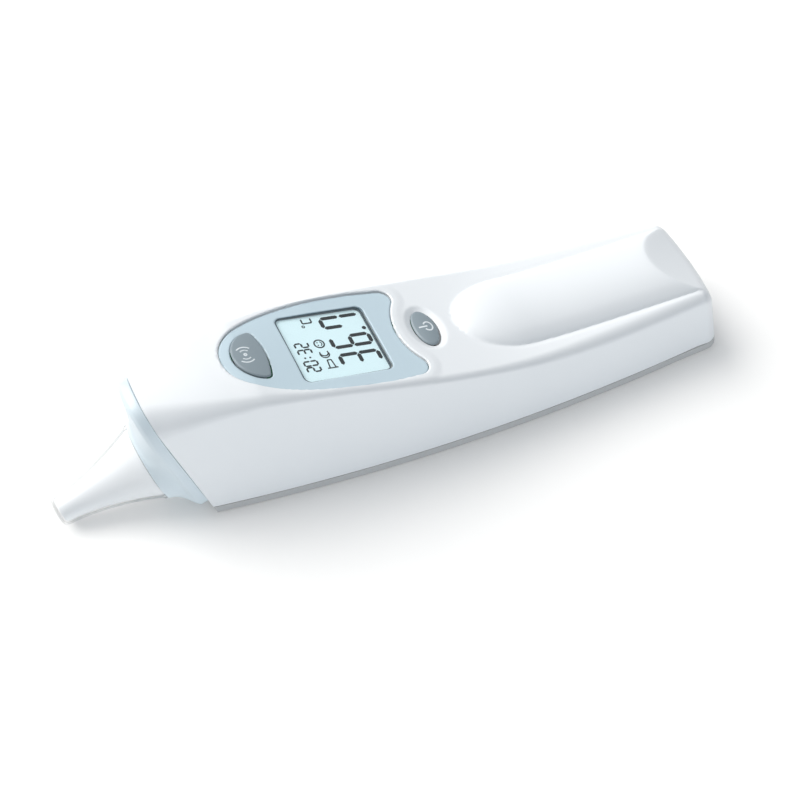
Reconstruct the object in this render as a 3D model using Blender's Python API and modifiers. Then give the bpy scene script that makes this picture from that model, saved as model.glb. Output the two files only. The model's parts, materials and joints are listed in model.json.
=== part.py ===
"""Digital ear thermometer, modelled as the assembly it is taken apart into.

Metres, +Z up. The thermometer lies on its flat underside: +X runs from the probe to the
tail of the handle, the origin is under the middle of its length and z = 0 is the surface.
"""
import math

import bmesh
import bpy
from mathutils import Vector

ASSEMBLY = "ear_thermometer"

# Driving dimensions of the body.
TAIL_X = 0.0777
HALF_WIDTH = 0.0160
WIDEST_X = 0.0200
FRONT_TAPER = 1.07
REAR_TAPER = 1.00
DRAFT = 0.00035
TAIL_LEAN = 0.0028
LEAN_MARGIN = 0.0012
TAIL_ARC = 0.055
TAIL_CORNER = 0.0035
FRONT_STOCK_X = -0.0745
HEAD_END_X = -0.0615
WALL = 0.0015
GAP = 0.0003
SEAM_Z = 0.0026
TONGUE_HEIGHT = 0.0011

# Rounded bottom edge of the tray and the door, as (inset, height).
FOOT_ROUND = ((0.0006, 0.0), (0.0002, 0.0002), (0.0, 0.0006))

# Top surface: a straight slope behind the head, levelling out into the handle.
SLOPE = 0.255
SLOPE_END_X = 0.0306
HANDLE_Z = 0.0193
SLOPE_BLEND = 0.0033
DOME_X = -0.0335
DOME_BEND = 0.80
DOME_POWER = 1.3
EDGE_RADIUS = 0.0015
HEAD_RADIUS = 0.0052
FLAT_CROWN = 0.0003
HEAD_CROWN = 0.0016
CROWN_START_X = -0.0150
CROWN_GROWTH = 0.055
HEAD_ROUND_X = -0.0215
HEAD_ROUND_LENGTH = 0.034

# Raised grip on the handle, cut off towards the tail by one slanting facet.
GRIP_START_X = 0.0165
GRIP_FULL_X = 0.0310
GRIP_HALF_WIDTH = 0.0104
GRIP_HEIGHT = 0.0034
FACET_X = 0.0676
FACET_Z = 0.0226
FACET_SLOPE = 0.50

# Rim of the head and the probe, whose axis is square to the rim.
RIM_FOOT_X = -0.0460
RIM_ANGLE = math.radians(19.1)
RIM_LENGTH = 0.0385
PROBE_DROP = 0.00485
COVER_BASE = 0.0073
COVER_TIP = 0.0298
COVER_BASE_RADIUS = 0.0091
COVER_TIP_RADIUS = 0.0035
COVER_FLARE = 1.7
NOSE_RADIUS = 0.0079
FILM = 0.00035

# Display and its two buttons.
DISPLAY_X = -0.0127
DISPLAY_LENGTH = 0.0208
DISPLAY_WIDTH = 0.0197
PANEL_RECESS = 0.0004
PANEL_THICK = 0.0012
PANEL_CENTRE_X = -0.0040
PANEL_REACH = 0.0344
PANEL_HALF_WIDTH = 0.01335
PANEL_POWER = 2.3
LOBE_X = 0.0050
LOBE_HALF_WIDTH = 0.0129
LOBE_RADIUS = 0.0026
NOTCH_X = 0.0019
NOTCH_RADIUS = 0.0161
START_X = -0.0319
START_HALF_WIDTH = 0.0065
START_FRONT = 0.0056
START_REAR = 0.0017
POWER_X = 0.0093
POWER_HALF_X = 0.00265
POWER_HALF_Y = 0.0051
KEY_DEPTH = 0.0034
KEY_FLANGE = 0.0007
FLANGE_THICK = 0.0006
KEY_CROWN = ((0.7, 0.0003), (0.35, 0.0004))
STEM_RADIUS = 0.0015

# Inside, measured down from the display surface.
WINDOW_DEPTH = 0.0008
WINDOW_THICK = 0.0004
GLASS_DEPTH = 0.0014
GLASS_THICK = 0.0022
FRAME_DEPTH = 0.0026
BOARD_DEPTH = 0.0086
BOARD_THICK = 0.0012

# Battery bay and door.
BAY_START_X = 0.0210
BAY_END_X = 0.0711
BAY_HALF_WIDTH = 0.0108
BAY_TOP = 0.0138
BAY_WALL = 0.0008
DOOR_START_X = 0.0187
DOOR_HALF_WIDTH = 0.0126
DOOR_THICK = 0.0016
CELL_RADIUS = 0.00525
CELL_LENGTH = 0.0445
CELL_X = 0.0253
CELL_Y = 0.0054
CELL_Z = 0.0080

SCREW_SPOTS = ((-0.0398, 0.0060), (-0.0398, -0.0060), (0.0153, 0.0095), (0.0153, -0.0095))
BOSS_RADIUS = 0.0022
SCREW_LENGTH = 0.0090

MATERIALS = {
    "white_shell": ((0.86, 0.88, 0.90, 1), 0.30, 0.0),
    "grey_shell": ((0.58, 0.60, 0.62, 1), 0.45, 0.0),
    "blue_panel": ((0.60, 0.71, 0.76, 1), 0.35, 0.0),
    "button_grey": ((0.20, 0.25, 0.27, 1), 0.40, 0.0),
    "clear_plastic": ((0.80, 0.88, 0.92, 1), 0.10, 0.0),
    "collar_plastic": ((0.66, 0.78, 0.83, 1), 0.20, 0.0),
    "lcd_glass": ((0.62, 0.76, 0.76, 1), 0.15, 0.0),
    "inner_plastic": ((0.75, 0.75, 0.73, 1), 0.50, 0.0),
    "rubber": ((0.06, 0.06, 0.06, 1), 0.80, 0.0),
    "board_green": ((0.03, 0.22, 0.10, 1), 0.45, 0.0),
    "chip_black": ((0.03, 0.03, 0.03, 1), 0.50, 0.0),
    "steel": ((0.70, 0.70, 0.70, 1), 0.25, 1.0),
    "gold": ((0.83, 0.62, 0.25, 1), 0.20, 1.0),
    "cell_wrap": ((0.20, 0.22, 0.24, 1), 0.40, 0.0),
}


def clear_scene():
    for item in list(bpy.data.objects):
        bpy.data.objects.remove(item, do_unlink=True)


def collection(name):
    group = bpy.data.collections.new(name)
    bpy.context.scene.collection.children.link(group)
    return group


def material(name):
    """The Principled material of this name, made on first use."""
    found = bpy.data.materials.get(name)
    if found:
        return found
    colour, roughness, metallic = MATERIALS[name]
    made = bpy.data.materials.new(name)
    made.use_nodes = True
    shader = made.node_tree.nodes["Principled BSDF"]
    shader.inputs["Base Color"].default_value = colour
    shader.inputs["Roughness"].default_value = roughness
    shader.inputs["Metallic"].default_value = metallic
    return made


def add_object(name, data, slot, parent=None, spot=(0, 0, 0), turn=(0, 0, 0)):
    """Link a mesh or curve as a part, or as a cutter when it has no material slot."""
    item = bpy.data.objects.new(name, data)
    item.location = spot
    item.rotation_euler = turn
    item.parent = parent
    if slot:
        data.materials.append(material(slot))
        PARTS.objects.link(item)
    else:
        item.hide_render = True
        item.display_type = 'WIRE'
        CUTTERS.objects.link(item)
    return item


def smooth(data, degrees=35):
    data.shade_smooth()
    data.set_sharp_from_angle(angle=math.radians(degrees))


def empty(name, spot, turn):
    item = bpy.data.objects.new(name, None)
    item.empty_display_size = 0.01
    item.location = spot
    item.rotation_euler = turn
    PARTS.objects.link(item)
    return item


def combine(target, operation, other):
    step = target.modifiers.new(other.name, 'BOOLEAN')
    step.operation = operation
    step.object = other
    return step


def cut(target, other):
    combine(target, 'DIFFERENCE', other)


def mesh_from(bm, name, angle=35):
    bmesh.ops.recalc_face_normals(bm, faces=bm.faces)
    data = bpy.data.meshes.new(name)
    bm.to_mesh(data)
    bm.free()
    smooth(data, angle)
    return data


def ring_mesh(name, rings, close_ends=True, loop=False):
    """Join rings of equal point count; points that meet are shared, so rings may collapse."""
    bm = bmesh.new()
    shared = {}

    def vertex(point):
        key = tuple(round(value * 1e7) for value in point)
        if key not in shared:
            shared[key] = bm.verts.new(point)
        return shared[key]

    rows = [[vertex(point) for point in ring] for ring in rings]
    pairs = list(zip(rows, rows[1:]))
    if loop:
        pairs.append((rows[-1], rows[0]))
    count = len(rings[0])
    for low, high in pairs:
        for i in range(count):
            j = (i + 1) % count
            corners = list(dict.fromkeys((low[i], low[j], high[j], high[i])))
            if len(corners) > 2 and not bm.faces.get(corners):
                bm.faces.new(corners)
    if close_ends and not loop:
        for row in (rows[0], rows[-1]):
            if len(set(row)) == count:
                bm.faces.new(row)
    return mesh_from(bm, name)


def prism(name, outline, low, high, slot=None, parent=None):
    """A flat outline extruded between two heights."""
    rings = [[(x, y, z) for x, y in outline] for z in (low, high)]
    return add_object(name, ring_mesh(name, rings), slot, parent)


def box(name, size, centre, slot=None, parent=None, turn=(0, 0, 0), bevel=0):
    """A cube primitive of this size, with bevelled edges if asked."""
    bm = bmesh.new()
    bmesh.ops.create_cube(bm, size=1)
    bmesh.ops.scale(bm, vec=size, verts=bm.verts)
    data = bpy.data.meshes.new(name)
    bm.to_mesh(data)
    bm.free()
    item = add_object(name, data, slot, parent, centre, turn)
    if bevel:
        step = item.modifiers.new("edges", 'BEVEL')
        step.width = bevel
        step.segments = 2
    return item


def cylinder(name, radius, low, high, spot, slot=None, parent=None, sides=24):
    """An upright cylinder between two heights."""
    bm = bmesh.new()
    bmesh.ops.create_cone(bm, cap_ends=True, segments=sides, radius1=radius,
                          radius2=radius, depth=high - low)
    data = mesh_from(bm, name)
    return add_object(name, data, slot, parent, (spot[0], spot[1], (low + high) / 2))


def turned(name, profile, slot, parent, spot=(0, 0, 0), steps=32, ring=False, turn=(0, 0, 0)):
    """Screw a profile of (radius, height) points, listed top to bottom down its outer side."""
    edges = [(i, i + 1) for i in range(len(profile) - 1)]
    if ring:
        edges.append((len(profile) - 1, 0))
    data = bpy.data.meshes.new(name)
    data.from_pydata([(r, 0, z) for r, z in profile], edges, [])
    item = add_object(name, data, slot, parent, spot, turn)
    step = item.modifiers.new("turn", 'SCREW')
    step.steps = steps
    step.render_steps = steps
    step.use_merge_vertices = True
    step.merge_threshold = 0.00001
    step.use_smooth_shade = True
    return item


def offset_point(outline, index, distance, open_ends=False):
    """One point of a counter-clockwise outline, moved outward square to its neighbours."""
    last = len(outline) - 1
    before = outline[index - 1] if index or not open_ends else outline[0]
    after = outline[last] if index == last and open_ends else outline[(index + 1) % (last + 1)]
    along = (Vector(after) - Vector(before)).normalized()
    x, y = outline[index]
    return x + along.y * distance, y - along.x * distance


def offset(outline, distance, open_ends=False):
    """Move a counter-clockwise outline outward by a distance, inward if negative."""
    return [offset_point(outline, i, distance, open_ends) for i in range(len(outline))]


# ---------------------------------------------------------------- body surface

def half_width(x):
    taper = FRONT_TAPER if x < WIDEST_X else REAR_TAPER
    return HALF_WIDTH - taper * (max(x, HEAD_END_X) - WIDEST_X) ** 2


def top_line(x):
    """Height of the top surface along the centre, without the grip."""
    fall = SLOPE * (SLOPE_END_X - x)
    height = HANDLE_Z + 0.5 * (fall + math.hypot(fall, SLOPE_BLEND))
    if x < DOME_X:
        height -= DOME_BEND * (DOME_X - x) ** DOME_POWER
    return height


def crown(x):
    """How far the top surface falls from the centre to its edge."""
    rise = CROWN_GROWTH * (CROWN_START_X - x)
    return FLAT_CROWN + min(HEAD_CROWN - FLAT_CROWN, max(0.0, rise))


def grip(x, y):
    """Rise of the grip over the handle, with a round front end."""
    ahead = max(0.0, (GRIP_FULL_X - x) / (GRIP_FULL_X - GRIP_START_X))
    inside = 1 - ahead ** 2 - (y / GRIP_HALF_WIDTH) ** 2
    return GRIP_HEIGHT * max(0.0, inside) ** 0.7


def top_height(x, y):
    facet = FACET_Z - FACET_SLOPE * (x - FACET_X)
    return min(top_line(x) - crown(x) * (y / half_width(x)) ** 2 + grip(x, y), facet)


def edge_radius(x):
    """Radius of the long top edge, which opens out into the round head."""
    ahead = min(1.0, max(0.0, (HEAD_ROUND_X - x) / HEAD_ROUND_LENGTH))
    return EDGE_RADIUS + (HEAD_RADIUS - EDGE_RADIUS) * ahead ** 1.6


def plan_outline():
    """Outline of the body seen from above, counter-clockwise from the front right corner."""
    side_end = TAIL_X - 0.0046
    right = []
    steps = 24
    for i in range(steps + 1):
        x = FRONT_STOCK_X + (side_end - FRONT_STOCK_X) * i / steps
        right.append((x, -half_width(x) - DRAFT))
    width = half_width(side_end) + DRAFT
    corner_y = width - TAIL_CORNER
    arc_x = TAIL_X - TAIL_ARC
    corner_x = arc_x + math.sqrt((TAIL_ARC - TAIL_CORNER) ** 2 - corner_y ** 2)
    join = math.atan2(corner_y, corner_x - arc_x)
    for i in range(1, 5):
        angle = (math.pi / 2 - join) * i / 4
        right.append((corner_x + TAIL_CORNER * math.sin(angle),
                      -corner_y - TAIL_CORNER * math.cos(angle)))
    for i in (1, 2):
        angle = join * (1 - i / 3)
        right.append((arc_x + TAIL_ARC * math.cos(angle), -TAIL_ARC * math.sin(angle)))
    left = [(x, -y) for x, y in reversed(right)]
    return right + [(TAIL_X, 0.0)] + left


def lean(ring):
    """Push the foot of the tail wall out, so that the wall leans back as it rises."""
    leaned = []
    for x, y, z in ring:
        if x > TAIL_X - TAIL_CORNER - LEAN_MARGIN:
            x += TAIL_LEAN * max(0.0, 1 - z / HANDLE_Z)
        leaned.append((x, y, z))
    return leaned


def body_mesh(name, inset, low, round_steps=4, top_steps=5):
    """The body's outer form, shrunk by an inset, from a flat underside at one height."""
    plan = offset(plan_outline(), -inset, True)
    spine_end = TAIL_X - 0.014
    rings = []
    for part in (0, 0.5, 1):
        ring = []
        for (x, y), (inner_x, inner_y) in zip(plan, offset(plan, -DRAFT, True)):
            radius = max(0.0004, edge_radius(x) - inset)
            shoulder = top_height(x, y) - inset - radius
            blend = part * 0.999
            ring.append((x + (inner_x - x) * blend, y + (inner_y - y) * blend,
                         low + (shoulder - low) * part))
        rings.append(lean(ring))
    for i in range(1, round_steps + 1):
        angle = math.pi / 2 * i / round_steps
        ring = []
        for k, (x, y) in enumerate(plan):
            radius = max(0.0004, edge_radius(x) - inset)
            shift = DRAFT + radius * (1 - math.cos(angle))
            near = Vector(offset_point(plan, k, -shift, True))
            top = top_height(near.x, near.y) - inset
            ring.append((near.x, near.y, top - radius * (1 - math.sin(angle))))
        rings.append(ring)
    edge = rings[-1]
    for i in range(1, top_steps + 1):
        part = i / top_steps
        ring = []
        for x, y, z in edge:
            spine_x = min(x, spine_end)
            at_x = x + (spine_x - x) * part
            at_y = y * (1 - part)
            ring.append((at_x, at_y, top_height(at_x, at_y) - inset))
        rings.append(ring)
    return ring_mesh(name, rings)


def rim_cutter():
    """A block that takes off everything ahead of the slanted rim of the head."""
    size = 0.08
    centre = (RIM_FOOT_X - math.cos(RIM_ANGLE) * size / 2, 0, -math.sin(RIM_ANGLE) * size / 2)
    return box("rim_cutter", (size, size, 4 * size), centre, turn=(0, -RIM_ANGLE, 0))


# ---------------------------------------------------------------- shells

def panel_outline():
    """Tear-drop panel: an oval front, two rear lobes and a hollow between them."""
    left = []
    steps = 16
    for i in range(steps + 1):
        angle = math.pi / 2 * (1 - i / steps)
        left.append((PANEL_CENTRE_X - PANEL_REACH * math.sin(angle) ** (2 / PANEL_POWER),
                     PANEL_HALF_WIDTH * math.cos(angle) ** (2 / PANEL_POWER)))
    left[0] = (left[0][0], 0.0)
    lobe_x = LOBE_X - LOBE_RADIUS
    lobe_y = LOBE_HALF_WIDTH - LOBE_RADIUS
    centre_x = NOTCH_X + NOTCH_RADIUS
    join = -math.atan2(lobe_y, centre_x - lobe_x)
    steps = 6
    for i in range(steps + 1):
        angle = math.pi / 2 + (join - math.pi / 2) * i / steps
        left.append((lobe_x + LOBE_RADIUS * math.cos(angle),
                     lobe_y + LOBE_RADIUS * math.sin(angle)))
    steps = 4
    for i in range(1, steps + 1):
        angle = join * (1 - i / steps)
        left.append((centre_x - NOTCH_RADIUS * math.cos(angle),
                     -NOTCH_RADIUS * math.sin(angle)))
    right = [(x, -y) for x, y in reversed(left[1:-1])]
    return list(reversed(left + right))


def rounded_rectangle(length, width, radius, steps=5):
    points = []
    for quarter, (sx, sy) in enumerate(((1, 1), (-1, 1), (-1, -1), (1, -1))):
        for i in range(steps + 1):
            angle = math.radians(90 * (quarter + i / steps))
            points.append((sx * (length / 2 - radius) + radius * math.cos(angle),
                           sy * (width / 2 - radius) + radius * math.sin(angle)))
    return points


def oval(half_x, half_y, steps=32):
    turns = [2 * math.pi * i / steps for i in range(steps)]
    return [(half_x * math.cos(turn), half_y * math.sin(turn)) for turn in turns]


def start_outline():
    """Start button: a full front curve and a shallow rear one, about its own centre."""
    front = []
    steps = 14
    back_x = 0.0016
    for i in range(steps + 1):
        y = START_HALF_WIDTH * math.cos(math.pi * i / steps)
        bow = max(0.0, 1 - (y / START_HALF_WIDTH) ** 2) ** 0.6
        front.append((back_x - START_FRONT * bow, y))
    rear = []
    for i in range(1, 8):
        y = START_HALF_WIDTH * (-1 + i / 4)
        rear.append((back_x + START_REAR * (1 - (y / START_HALF_WIDTH) ** 2), y))
    return front + rear


def make_upper_housing():
    shell = add_object("upper_housing", body_mesh("upper_housing", 0.0, SEAM_Z + GAP / 2),
                       "white_shell")
    hollow = add_object("upper_hollow", body_mesh("upper_hollow", WALL, -0.01, 2, 4), None)
    cut(shell, hollow)
    for number, (x, y) in enumerate(SCREW_SPOTS, 1):
        top = top_height(x, y) - WALL * 0.6
        boss = cylinder(f"boss_{number}", BOSS_RADIUS, 0.0042, top, (x, y), sides=16)
        combine(shell, 'UNION', boss)
    for number, (x, y) in enumerate(SCREW_SPOTS, 1):
        drill = cylinder(f"boss_drill_{number}", 0.0014, -0.001, 0.0115, (x, y), sides=12)
        cut(shell, drill)
    cut(shell, RIM)
    opening = prism("panel_opening", offset(panel_outline(), GAP), 0.018, 0.045)
    cut(shell, opening)
    hole = prism("power_opening", offset(oval(POWER_HALF_X, POWER_HALF_Y), GAP), -0.004, 0.004,
                 parent=POWER_FRAME)
    cut(shell, hole)


def crowned_plate(name, outline, recess, thick, slot):
    """A plate that follows the body's top surface at a depth below it."""
    centre = Vector((DISPLAY_X, 0))
    rings = []
    parts = (0.0, 0.3, 0.55, 0.8, 1.0)
    for depth, order in ((recess + thick, parts), (recess, tuple(reversed(parts)))):
        for part in order:
            ring = []
            for x, y in outline:
                at = centre.lerp(Vector((x, y)), part)
                ring.append((at.x, at.y, top_height(at.x, at.y) - depth))
            rings.append(ring)
    return add_object(name, ring_mesh(name, rings, close_ends=False), slot)


def make_display_panel():
    panel = crowned_plate("display_panel", panel_outline(), PANEL_RECESS, PANEL_THICK,
                          "blue_panel")
    window = rounded_rectangle(DISPLAY_LENGTH, DISPLAY_WIDTH, 0.0016)
    cut(panel, prism("window_opening", window, -0.006, 0.006, parent=DISPLAY_FRAME))
    start = offset(start_outline(), GAP)
    cut(panel, prism("start_opening", start, -0.006, 0.006, parent=START_FRAME))


def make_lower_housing():
    """Tray with a tongue inside the upper shell and the battery bay standing on it."""
    plan = plan_outline()
    levels = FOOT_ROUND + ((0.0, SEAM_Z - GAP / 2), (WALL + GAP, SEAM_Z - GAP / 2),
                           (WALL + GAP, SEAM_Z + TONGUE_HEIGHT))
    rings = [lean([(x, y, z) for x, y in offset(plan, -inset, True)]) for inset, z in levels]
    tray = add_object("lower_housing", ring_mesh("lower_housing", rings), "grey_shell")
    inner = [(x, y) for x, y in offset(plan, -0.0034, True)]
    front = prism("tray_hollow", inner, 0.0015, 0.010)
    limit = box("tray_hollow_end", (0.1, 0.06, 0.06), (BAY_START_X - BAY_WALL + 0.05, 0, 0))
    cut(front, limit)
    cut(tray, front)
    length = BAY_END_X - BAY_START_X
    middle = (BAY_END_X + BAY_START_X) / 2
    outer_size = (length + 2 * BAY_WALL, 2 * (BAY_HALF_WIDTH + BAY_WALL), BAY_TOP + BAY_WALL - 0.0025)
    bay = box("bay_outer", outer_size, (middle, 0, 0.0025 + outer_size[2] / 2))
    combine(tray, 'UNION', bay)
    cell_room = box("bay_inner", (length, 2 * BAY_HALF_WIDTH, BAY_TOP + 0.01),
                    (middle, 0, (BAY_TOP - 0.01) / 2))
    cut(tray, cell_room)
    door_size = (0.08, 2 * (DOOR_HALF_WIDTH + GAP), 0.010 + DOOR_THICK + GAP)
    door_room = box("door_room", door_size,
                    (DOOR_START_X - GAP + 0.04, 0, DOOR_THICK + GAP - door_size[2] / 2))
    cut(tray, door_room)
    for number, (x, y) in enumerate(SCREW_SPOTS, 1):
        drill = turned(f"tray_drill_{number}", ((0, 0.012), (0.0014, 0.012), (0.0014, 0.0019),
                                                (0.0024, 0.0019), (0.0024, -0.001), (0, -0.001)),
                       None, None, (x, y, 0), steps=16)
        cut(tray, drill)
    cut(tray, RIM)


def make_battery_door():
    """Flush cover under the cells; it slides out towards the tail."""
    plan = plan_outline()
    levels = FOOT_ROUND + ((0.0, DOOR_THICK),)
    rings = [lean([(x, y, z) for x, y in offset(plan, -inset, True)]) for inset, z in levels]
    data = ring_mesh("battery_door", rings)
    door = add_object("battery_door", data, "grey_shell")
    keep = box("door_limit", (0.08, 2 * DOOR_HALF_WIDTH, 0.02), (DOOR_START_X + 0.04, 0, 0))
    combine(door, 'INTERSECT', keep)
    for i in range(4):
        groove = box(f"door_groove_{i + 1}", (0.0008, 0.012, 0.0008),
                     (DOOR_START_X + 0.006 + 0.0022 * i, 0, 0))
        cut(door, groove)


def make_screws():
    profile = ((0, SCREW_LENGTH), (0.0007, SCREW_LENGTH), (0.00105, SCREW_LENGTH - 0.0008),
               (0.00105, 0.0016), (0.0021, 0.0016), (0.0021, 0.0009), (0.0016, 0.0005),
               (0.0005, 0.0005), (0, 0.0010))
    for number, (x, y) in enumerate(SCREW_SPOTS, 1):
        turned(f"housing_screw_{number}", profile, "steel", None, (x, y, 0), steps=16)


# ---------------------------------------------------------------- display and buttons

def make_display():
    outline = rounded_rectangle(DISPLAY_LENGTH - 2 * GAP, DISPLAY_WIDTH - 2 * GAP, 0.0013)
    prism("lcd_window", outline, -WINDOW_DEPTH - WINDOW_THICK, -WINDOW_DEPTH, "clear_plastic",
          DISPLAY_FRAME)
    prism("lcd_glass", outline, -GLASS_DEPTH - GLASS_THICK, -GLASS_DEPTH, "lcd_glass",
          DISPLAY_FRAME)
    top = -FRAME_DEPTH
    frame = box("lcd_frame", (DISPLAY_LENGTH + 0.0030, DISPLAY_WIDTH + 0.0023, BOARD_DEPTH + top - GAP),
                (0, 0, (top - BOARD_DEPTH + GAP) / 2), "inner_plastic", DISPLAY_FRAME)
    cut(frame, box("lcd_frame_opening", (DISPLAY_LENGTH, DISPLAY_WIDTH, 0.02), (0, 0, -0.005),
                   parent=DISPLAY_FRAME))
    strip_top = -GLASS_DEPTH - GLASS_THICK - GAP
    height = BOARD_DEPTH - GAP + strip_top
    box("lcd_contact_strip", (0.0020, 0.0180, height),
        (-0.0088, 0, strip_top - height / 2), "rubber", DISPLAY_FRAME)


def board_outline():
    half = ((-0.0230, 0.0085), (-0.0160, 0.0096), (-0.0100, 0.0106), (0.0265, 0.0106))
    return [(x, -y) for x, y in half] + [(x, y) for x, y in reversed(half)]


def make_board():
    prism("main_board", board_outline(), -BOARD_DEPTH - BOARD_THICK, -BOARD_DEPTH,
          "board_green", DISPLAY_FRAME)
    under = -BOARD_DEPTH - BOARD_THICK - GAP
    box("controller_chip", (0.0090, 0.0090, 0.0014), (0.0100, 0, under - 0.0007),
        "chip_black", DISPLAY_FRAME, bevel=0.0002)
    box("quartz_can", (0.0032, 0.0110, 0.0034), (0.0185, 0, under - 0.0017), "steel",
        DISPLAY_FRAME, bevel=0.0006)
    turned("buzzer", ((0.0012, 0), (0.0060, 0), (0.0060, -0.0034), (0.0012, -0.0034)),
           "chip_black", DISPLAY_FRAME, (-0.0060, 0, under), steps=28, ring=True)


def make_button(name, outline, frame):
    """A crowned key with a retaining flange, and the tact switch and stem below it."""
    flange_z = -KEY_DEPTH + FLANGE_THICK
    levels = ((-0.0004, -KEY_DEPTH), (KEY_FLANGE, -KEY_DEPTH), (KEY_FLANGE, flange_z),
              (0.0, flange_z), (0.0, -0.0003), (-0.0003, 0.0001))
    rings = [[(x, y, z) for x, y in offset(outline, out)] for out, z in levels]
    last = rings[-1]
    for part, rise in KEY_CROWN:
        rings.append([(x * part, y * part, rise) for x, y, _ in last])
    add_object(f"{name}_button", ring_mesh(name, rings), "button_grey", frame)
    stem_top = -KEY_DEPTH - GAP
    cylinder(f"{name}_stem", STEM_RADIUS, stem_top - 0.0020, stem_top, (0, 0), "inner_plastic",
             frame, sides=20)
    low = -BOARD_DEPTH + GAP + 0.0002
    high = stem_top - 0.0008
    body = box(f"{name}_switch", (0.0060, 0.0060, high - low), (0, 0, (high + low) / 2),
               "chip_black", frame, bevel=0.0002)
    bore = cylinder(f"{name}_switch_bore", STEM_RADIUS + GAP, stem_top - 0.0028, 0.0, (0, 0),
                    parent=frame, sides=20)
    cut(body, bore)


# ---------------------------------------------------------------- probe

def cover_radius(along):
    """Outer radius of the cover at a distance ahead of the rim."""
    left = max(0.0, (COVER_TIP - along) / (COVER_TIP - COVER_BASE))
    return COVER_TIP_RADIUS + (COVER_BASE_RADIUS - COVER_TIP_RADIUS) * left ** COVER_FLARE


def cone(inset, start, end, steps=9):
    """Points of the flared probe form from its tip back to its base."""
    return [(cover_radius(end + (start - end) * i / steps) - inset,
             end + (start - end) * i / steps) for i in range(steps + 1)]


def make_probe_cover():
    outer = [(0, 0.0300), (0.0028, 0.0300), (0.0033, COVER_TIP - 0.0002)]
    outer += cone(0.0, COVER_BASE + 0.0008, COVER_TIP - 0.0008)
    foot = [(COVER_BASE_RADIUS + 0.0001, COVER_BASE), (COVER_BASE_RADIUS - FILM - 0.0002, COVER_BASE)]
    inner = list(reversed(cone(FILM, COVER_BASE + 0.0008, COVER_TIP - 0.0008)))
    tip = [(0.0027, 0.0300 - FILM), (0, 0.0300 - FILM)]
    turned("probe_cover", outer + foot + inner + tip, "clear_plastic", PROBE_FRAME)


def make_probe_nose():
    skin = FILM + 0.00025
    outer = [(0.0023, 0.0293), (0.0026, 0.0293)]
    outer += cone(skin, COVER_BASE + 0.0016, 0.0285)
    outer += [(NOSE_RADIUS, COVER_BASE + 0.0012), (NOSE_RADIUS, 0.0004), (0.0086, 0.0004),
              (0.0086, -0.0008)]
    bore = [(0.0070, -0.0008), (0.0070, 0.0075), (0.0048, 0.0125), (0.0029, 0.0200),
            (0.0023, 0.0270)]
    turned("probe_nose", outer + bore, "white_shell", PROBE_FRAME, ring=True)
    turned("probe_window", ((0, 0.0291), (0.0020, 0.0291), (0.0020, 0.0286), (0, 0.0286)),
           "lcd_glass", PROBE_FRAME, steps=20)


def make_sensor():
    """Thermopile can in its metal block, with the gilded guide that leads to the tip."""
    turned("wave_guide", ((0.0012, 0.0283), (0.0016, 0.0283), (0.0016, 0.0045), (0.0012, 0.0045)),
           "gold", PROBE_FRAME, steps=20, ring=True)
    turned("thermopile_can", ((0, 0.0041), (0.0022, 0.0041), (0.0023, 0.0038), (0.0023, 0.0012),
                              (0.0027, 0.0012), (0.0027, 0.0006), (0, 0.0006)),
           "steel", PROBE_FRAME, steps=24)
    turned("sensor_block", ((0.0020, 0.0085), (0.0045, 0.0085), (0.0056, 0.0060),
                            (0.0056, -0.0040), (0.0031, -0.0040), (0.0031, 0.0044),
                            (0.0020, 0.0049)),
           "gold", PROBE_FRAME, steps=24, ring=True)


def make_sensor_lead():
    """Lead from the back of the can up to the front edge of the board."""
    start = PROBE_FRAME.matrix_basis @ Vector((0, 0, 0.0002))
    back = PROBE_FRAME.matrix_basis @ Vector((0, 0, -0.0060))
    end = DISPLAY_FRAME.matrix_basis @ Vector((-0.0238, 0, -BOARD_DEPTH - 0.0006))
    ahead = DISPLAY_FRAME.matrix_basis @ Vector((-0.0290, 0, -BOARD_DEPTH - 0.0026))
    data = bpy.data.curves.new("sensor_lead", 'CURVE')
    data.dimensions = '3D'
    data.bevel_depth = 0.0008
    data.bevel_resolution = 2
    data.use_fill_caps = True
    count = 11
    spline = data.splines.new('POLY')
    spline.points.add(count - 1)
    for i in range(count):
        t = i / (count - 1)
        weights = ((1 - t) ** 3, 3 * t * (1 - t) ** 2, 3 * t * t * (1 - t), t ** 3)
        at = sum((p * w for p, w in zip((start, back, ahead, end), weights)), Vector())
        spline.points[i].co = (*at, 1)
    add_object("sensor_lead", data, "rubber")


def make_probe_carrier():
    """Bulkhead just behind the rim that holds the probe."""
    data = body_mesh("probe_carrier", WALL + GAP, SEAM_Z + TONGUE_HEIGHT + GAP, 2, 4)
    plate = add_object("probe_carrier", data, "inner_plastic")
    thick = 0.0018
    centre = PROBE_FRAME.matrix_basis @ Vector((0, 0, -0.0012 - thick / 2))
    slab = box("carrier_slab", (0.08, 0.08, thick), centre, turn=PROBE_FRAME.rotation_euler)
    combine(plate, 'INTERSECT', slab)
    cut(plate, cylinder("carrier_bore", 0.0060, -0.01, 0.01, (0, 0), parent=PROBE_FRAME))


def collar_ring(inset, mix, radius, height, count=72):
    """Section of the collar: the rim's oval at mix 0, a circle round the probe at mix 1."""
    points = []
    reach = RIM_LENGTH / 2 - 0.0009 - inset
    for i in range(count):
        angle = 2 * math.pi * i / count
        c, s = math.cos(angle), math.sin(angle)
        power = 2 / 3 if c > 0 else 2 / 5
        up = reach * math.copysign(abs(c) ** power, c)
        side = (0.0102 - inset - 0.045 * up) * math.copysign(abs(s) ** power, s)
        oval_point = Vector((up + PROBE_DROP, side, height))
        round_angle = math.atan2(oval_point.y, oval_point.x)
        circle = Vector((radius * math.cos(round_angle), radius * math.sin(round_angle), height))
        points.append(oval_point.lerp(circle, mix))
    return points


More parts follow.
